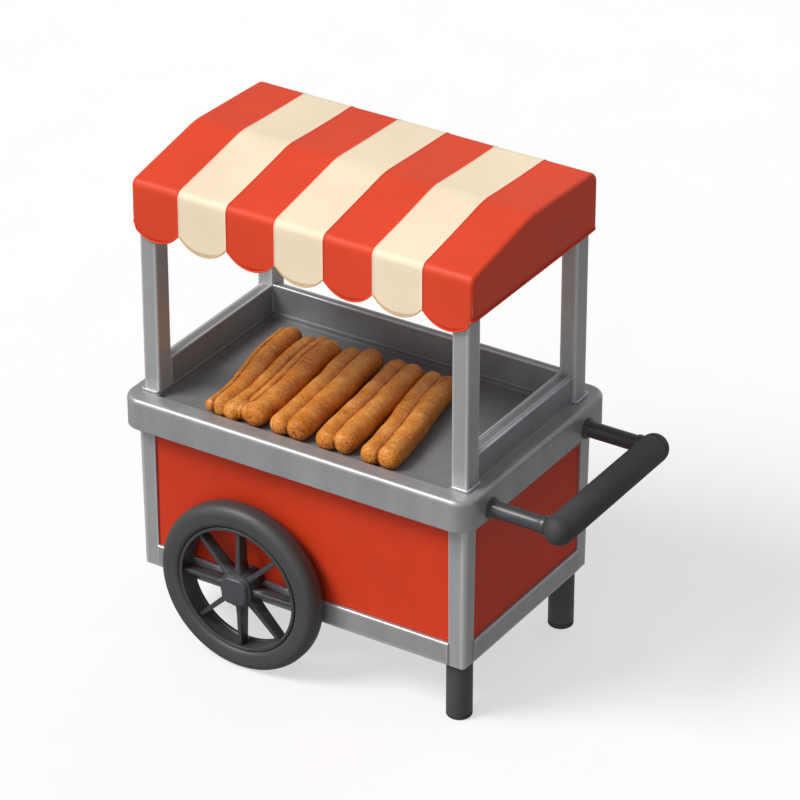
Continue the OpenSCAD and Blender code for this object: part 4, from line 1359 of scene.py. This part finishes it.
# %% [markdown]
# ## Rolls
#
# Each split roll is two or three long lobes baked together, with a lower filler of dough
# between the outer ones. A lobe is a spun loaf with blunt ends and a slightly uneven girth.
# The lobes are fused by a voxel remesh, which also gives the crust enough points to be
# wrinkled by noise, bent along its length and flattened where it lies. Every roll has its
# own numbers, so that no two are alike.

# %% Rolls
tray_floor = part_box("roll_1")[0].z
roll_length = 0.620
roll_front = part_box("roll_1")[0].y - 0.017
voxel = 0.0032
sunk_in = 0.003
wrinkle_depth, lump_depth, fold_depth = 0.0007, 0.0018, 0.0015
fold_width = 0.010

# Per roll: its turn in degrees, its shift along the cart, the reach of its bend, and its
# lobes as (place across, radius, start, end, lift)
roll_plans = [
    (6.4, -0.028, 0.015, [(-0.026, 0.026, 0.00, 0.99, 0.014), (0.006, 0.039, 0.00, 1.00, 0)]),
    (2.7, -0.054, 0.012, [(-0.050, 0.037, 0.01, 0.98, 0), (-0.008, 0.026, 0.12, 1.00, 0.022),
                          (0.043, 0.045, 0.00, 0.96, 0)]),
    (5.0, -0.030, 0.003, [(-0.038, 0.041, 0.01, 0.98, 0), (0.036, 0.046, 0.00, 1.00, 0)]),
    (6.6, -0.004, -0.003, [(-0.035, 0.041, 0.00, 1.00, 0), (0.034, 0.044, 0.01, 0.97, 0)]),
    (9.6, 0.012, 0.003, [(-0.035, 0.040, 0.01, 1.00, 0), (0.034, 0.044, 0.00, 0.97, 0)]),
]


def lobe(across, radius, start, end, lift, seed):
    """A loaf along Y with blunt round ends and an uneven girth."""
    steps = 34
    long = roll_length * (end - start)
    profile = []
    for i in range(steps + 1):
        along = long / 2 - math.cos(math.pi * i / steps) * long / 2
        end_share = max(0.0, 1 - min(along, long - along) / (radius * 0.9))
        girth = radius * (1 - end_share ** 2.3) ** (1 / 2.3)
        uneven = 1 + 0.05 * noise.noise(Vector((seed, along * 9, 0)))
        profile.append((girth * uneven if 0 < i < steps else 0.0, along))
    centre = (across, roll_length * start, radius - sunk_in + lift)
    return lathe(profile, centre, (0, 1, 0), 40)


def filler(lobes):
    """The dough that joins the outer lobes, a little lower than their crowns."""
    radius, start, end, lift = 0.031, 0.025, 0.975, 0.010
    return ((lobes[0][0] + lobes[-1][0]) / 2, radius, start, end, lift)


def depth_under(spot, shape):
    """How far a spot lies outside a lobe's surface."""
    across, radius, start, end, lift = shape
    low, high = roll_length * start + radius, roll_length * end - radius
    past = max(low - spot.y, 0.0, spot.y - high)
    return Vector((spot.x - across, past, spot.z - (radius - sunk_in + lift))).length - radius


def bake_roll(number, plan):
    """One roll at its place in the tray."""
    turn, shift_x, bend, lobes = plan
    node = f"roll_{number}"
    low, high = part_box(node)
    shapes = [*lobes, filler(lobes)]
    rough = joined([lobe(*shape, seed=number * 7 + i) for i, shape in enumerate(shapes)])
    data = bpy.data.meshes.new("dough")
    rough.to_mesh(data)
    rough.free()
    dough = bpy.data.objects.new("dough", data)
    scene.collection.objects.link(dough)
    fuse = dough.modifiers.new("fuse", "REMESH")
    fuse.mode = "VOXEL"
    fuse.voxel_size = voxel
    settle = dough.modifiers.new("settle", "SMOOTH")
    settle.iterations = 4
    settle.factor = 0.5
    baked = bpy.data.meshes.new_from_object(dough.evaluated_get(
        bpy.context.evaluated_depsgraph_get()))
    bpy.data.objects.remove(dough)
    mesh = bmesh.new()
    mesh.from_mesh(baked)
    bpy.data.meshes.remove(baked)
    mesh.normal_update()

    toast = mesh.verts.layers.float.new("toast")
    moves = []
    for vert in mesh.verts:
        spot = vert.co
        gaps = sorted(depth_under(spot, shape) for shape in lobes)
        fold = max(0.0, 1 - (gaps[1] - gaps[0]) / fold_width)
        wave = noise.noise(Vector((spot.x * 26 + number * 5, spot.y * 85, spot.z * 30)))
        lump = noise.noise(Vector((spot.x * 12, spot.y * 14 + number * 3, spot.z * 12)))
        depth = wave * wrinkle_depth + lump * lump_depth - fold * fold_depth
        moves.append(vert.normal * depth)
        # Faces that look up are lighter, which is painted light, and folds are darker, which is
        # painted shade; wave and lump add uneven tone.
        vert[toast] = 0.56 + 0.16 * vert.normal.z - 0.48 * fold + 0.14 * wave + 0.2 * lump
    for vert, move in zip(mesh.verts, moves):
        vert.co += move
        share = vert.co.y / roll_length
        vert.co.x += bend * math.sin(math.tau * share) + 0.002 * math.sin(9 * share + number)
        vert.co.z = max(vert.co.z, 0.0006)
    bmesh.ops.rotate(mesh, verts=mesh.verts, matrix=Matrix.Rotation(math.radians(turn), 3, "Z"))
    top = max(v.co.z for v in mesh.verts)
    span = [min(v.co.x for v in mesh.verts), max(v.co.x for v in mesh.verts)]
    front = min(v.co.y for v in mesh.verts)
    place = Vector(((low.x + high.x - sum(span)) / 2 + shift_x, roll_front - front, tray_floor))
    bmesh.ops.translate(mesh, verts=mesh.verts, vec=place)
    finish_piece(f"split_roll_{number}", mesh, "tray", [node], roll_crust, border=0)
    return top


tops = [bake_roll(i + 1, plan) for i, plan in enumerate(roll_plans)]
print("roll heights", [round(t, 3) for t in tops])

# %% [markdown]
# ## Size
#
# The dressed model has to stay as large as the imported one, so the last line prints how far
# each side of the dressed model's box lies past the imported one's.

# %% Finish
visual_low, visual_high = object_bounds()
growth = zip((*visual_low, *visual_high), (*cad_low, *cad_high))
print("grown by", [round(v - c, 4) for v, c in growth])
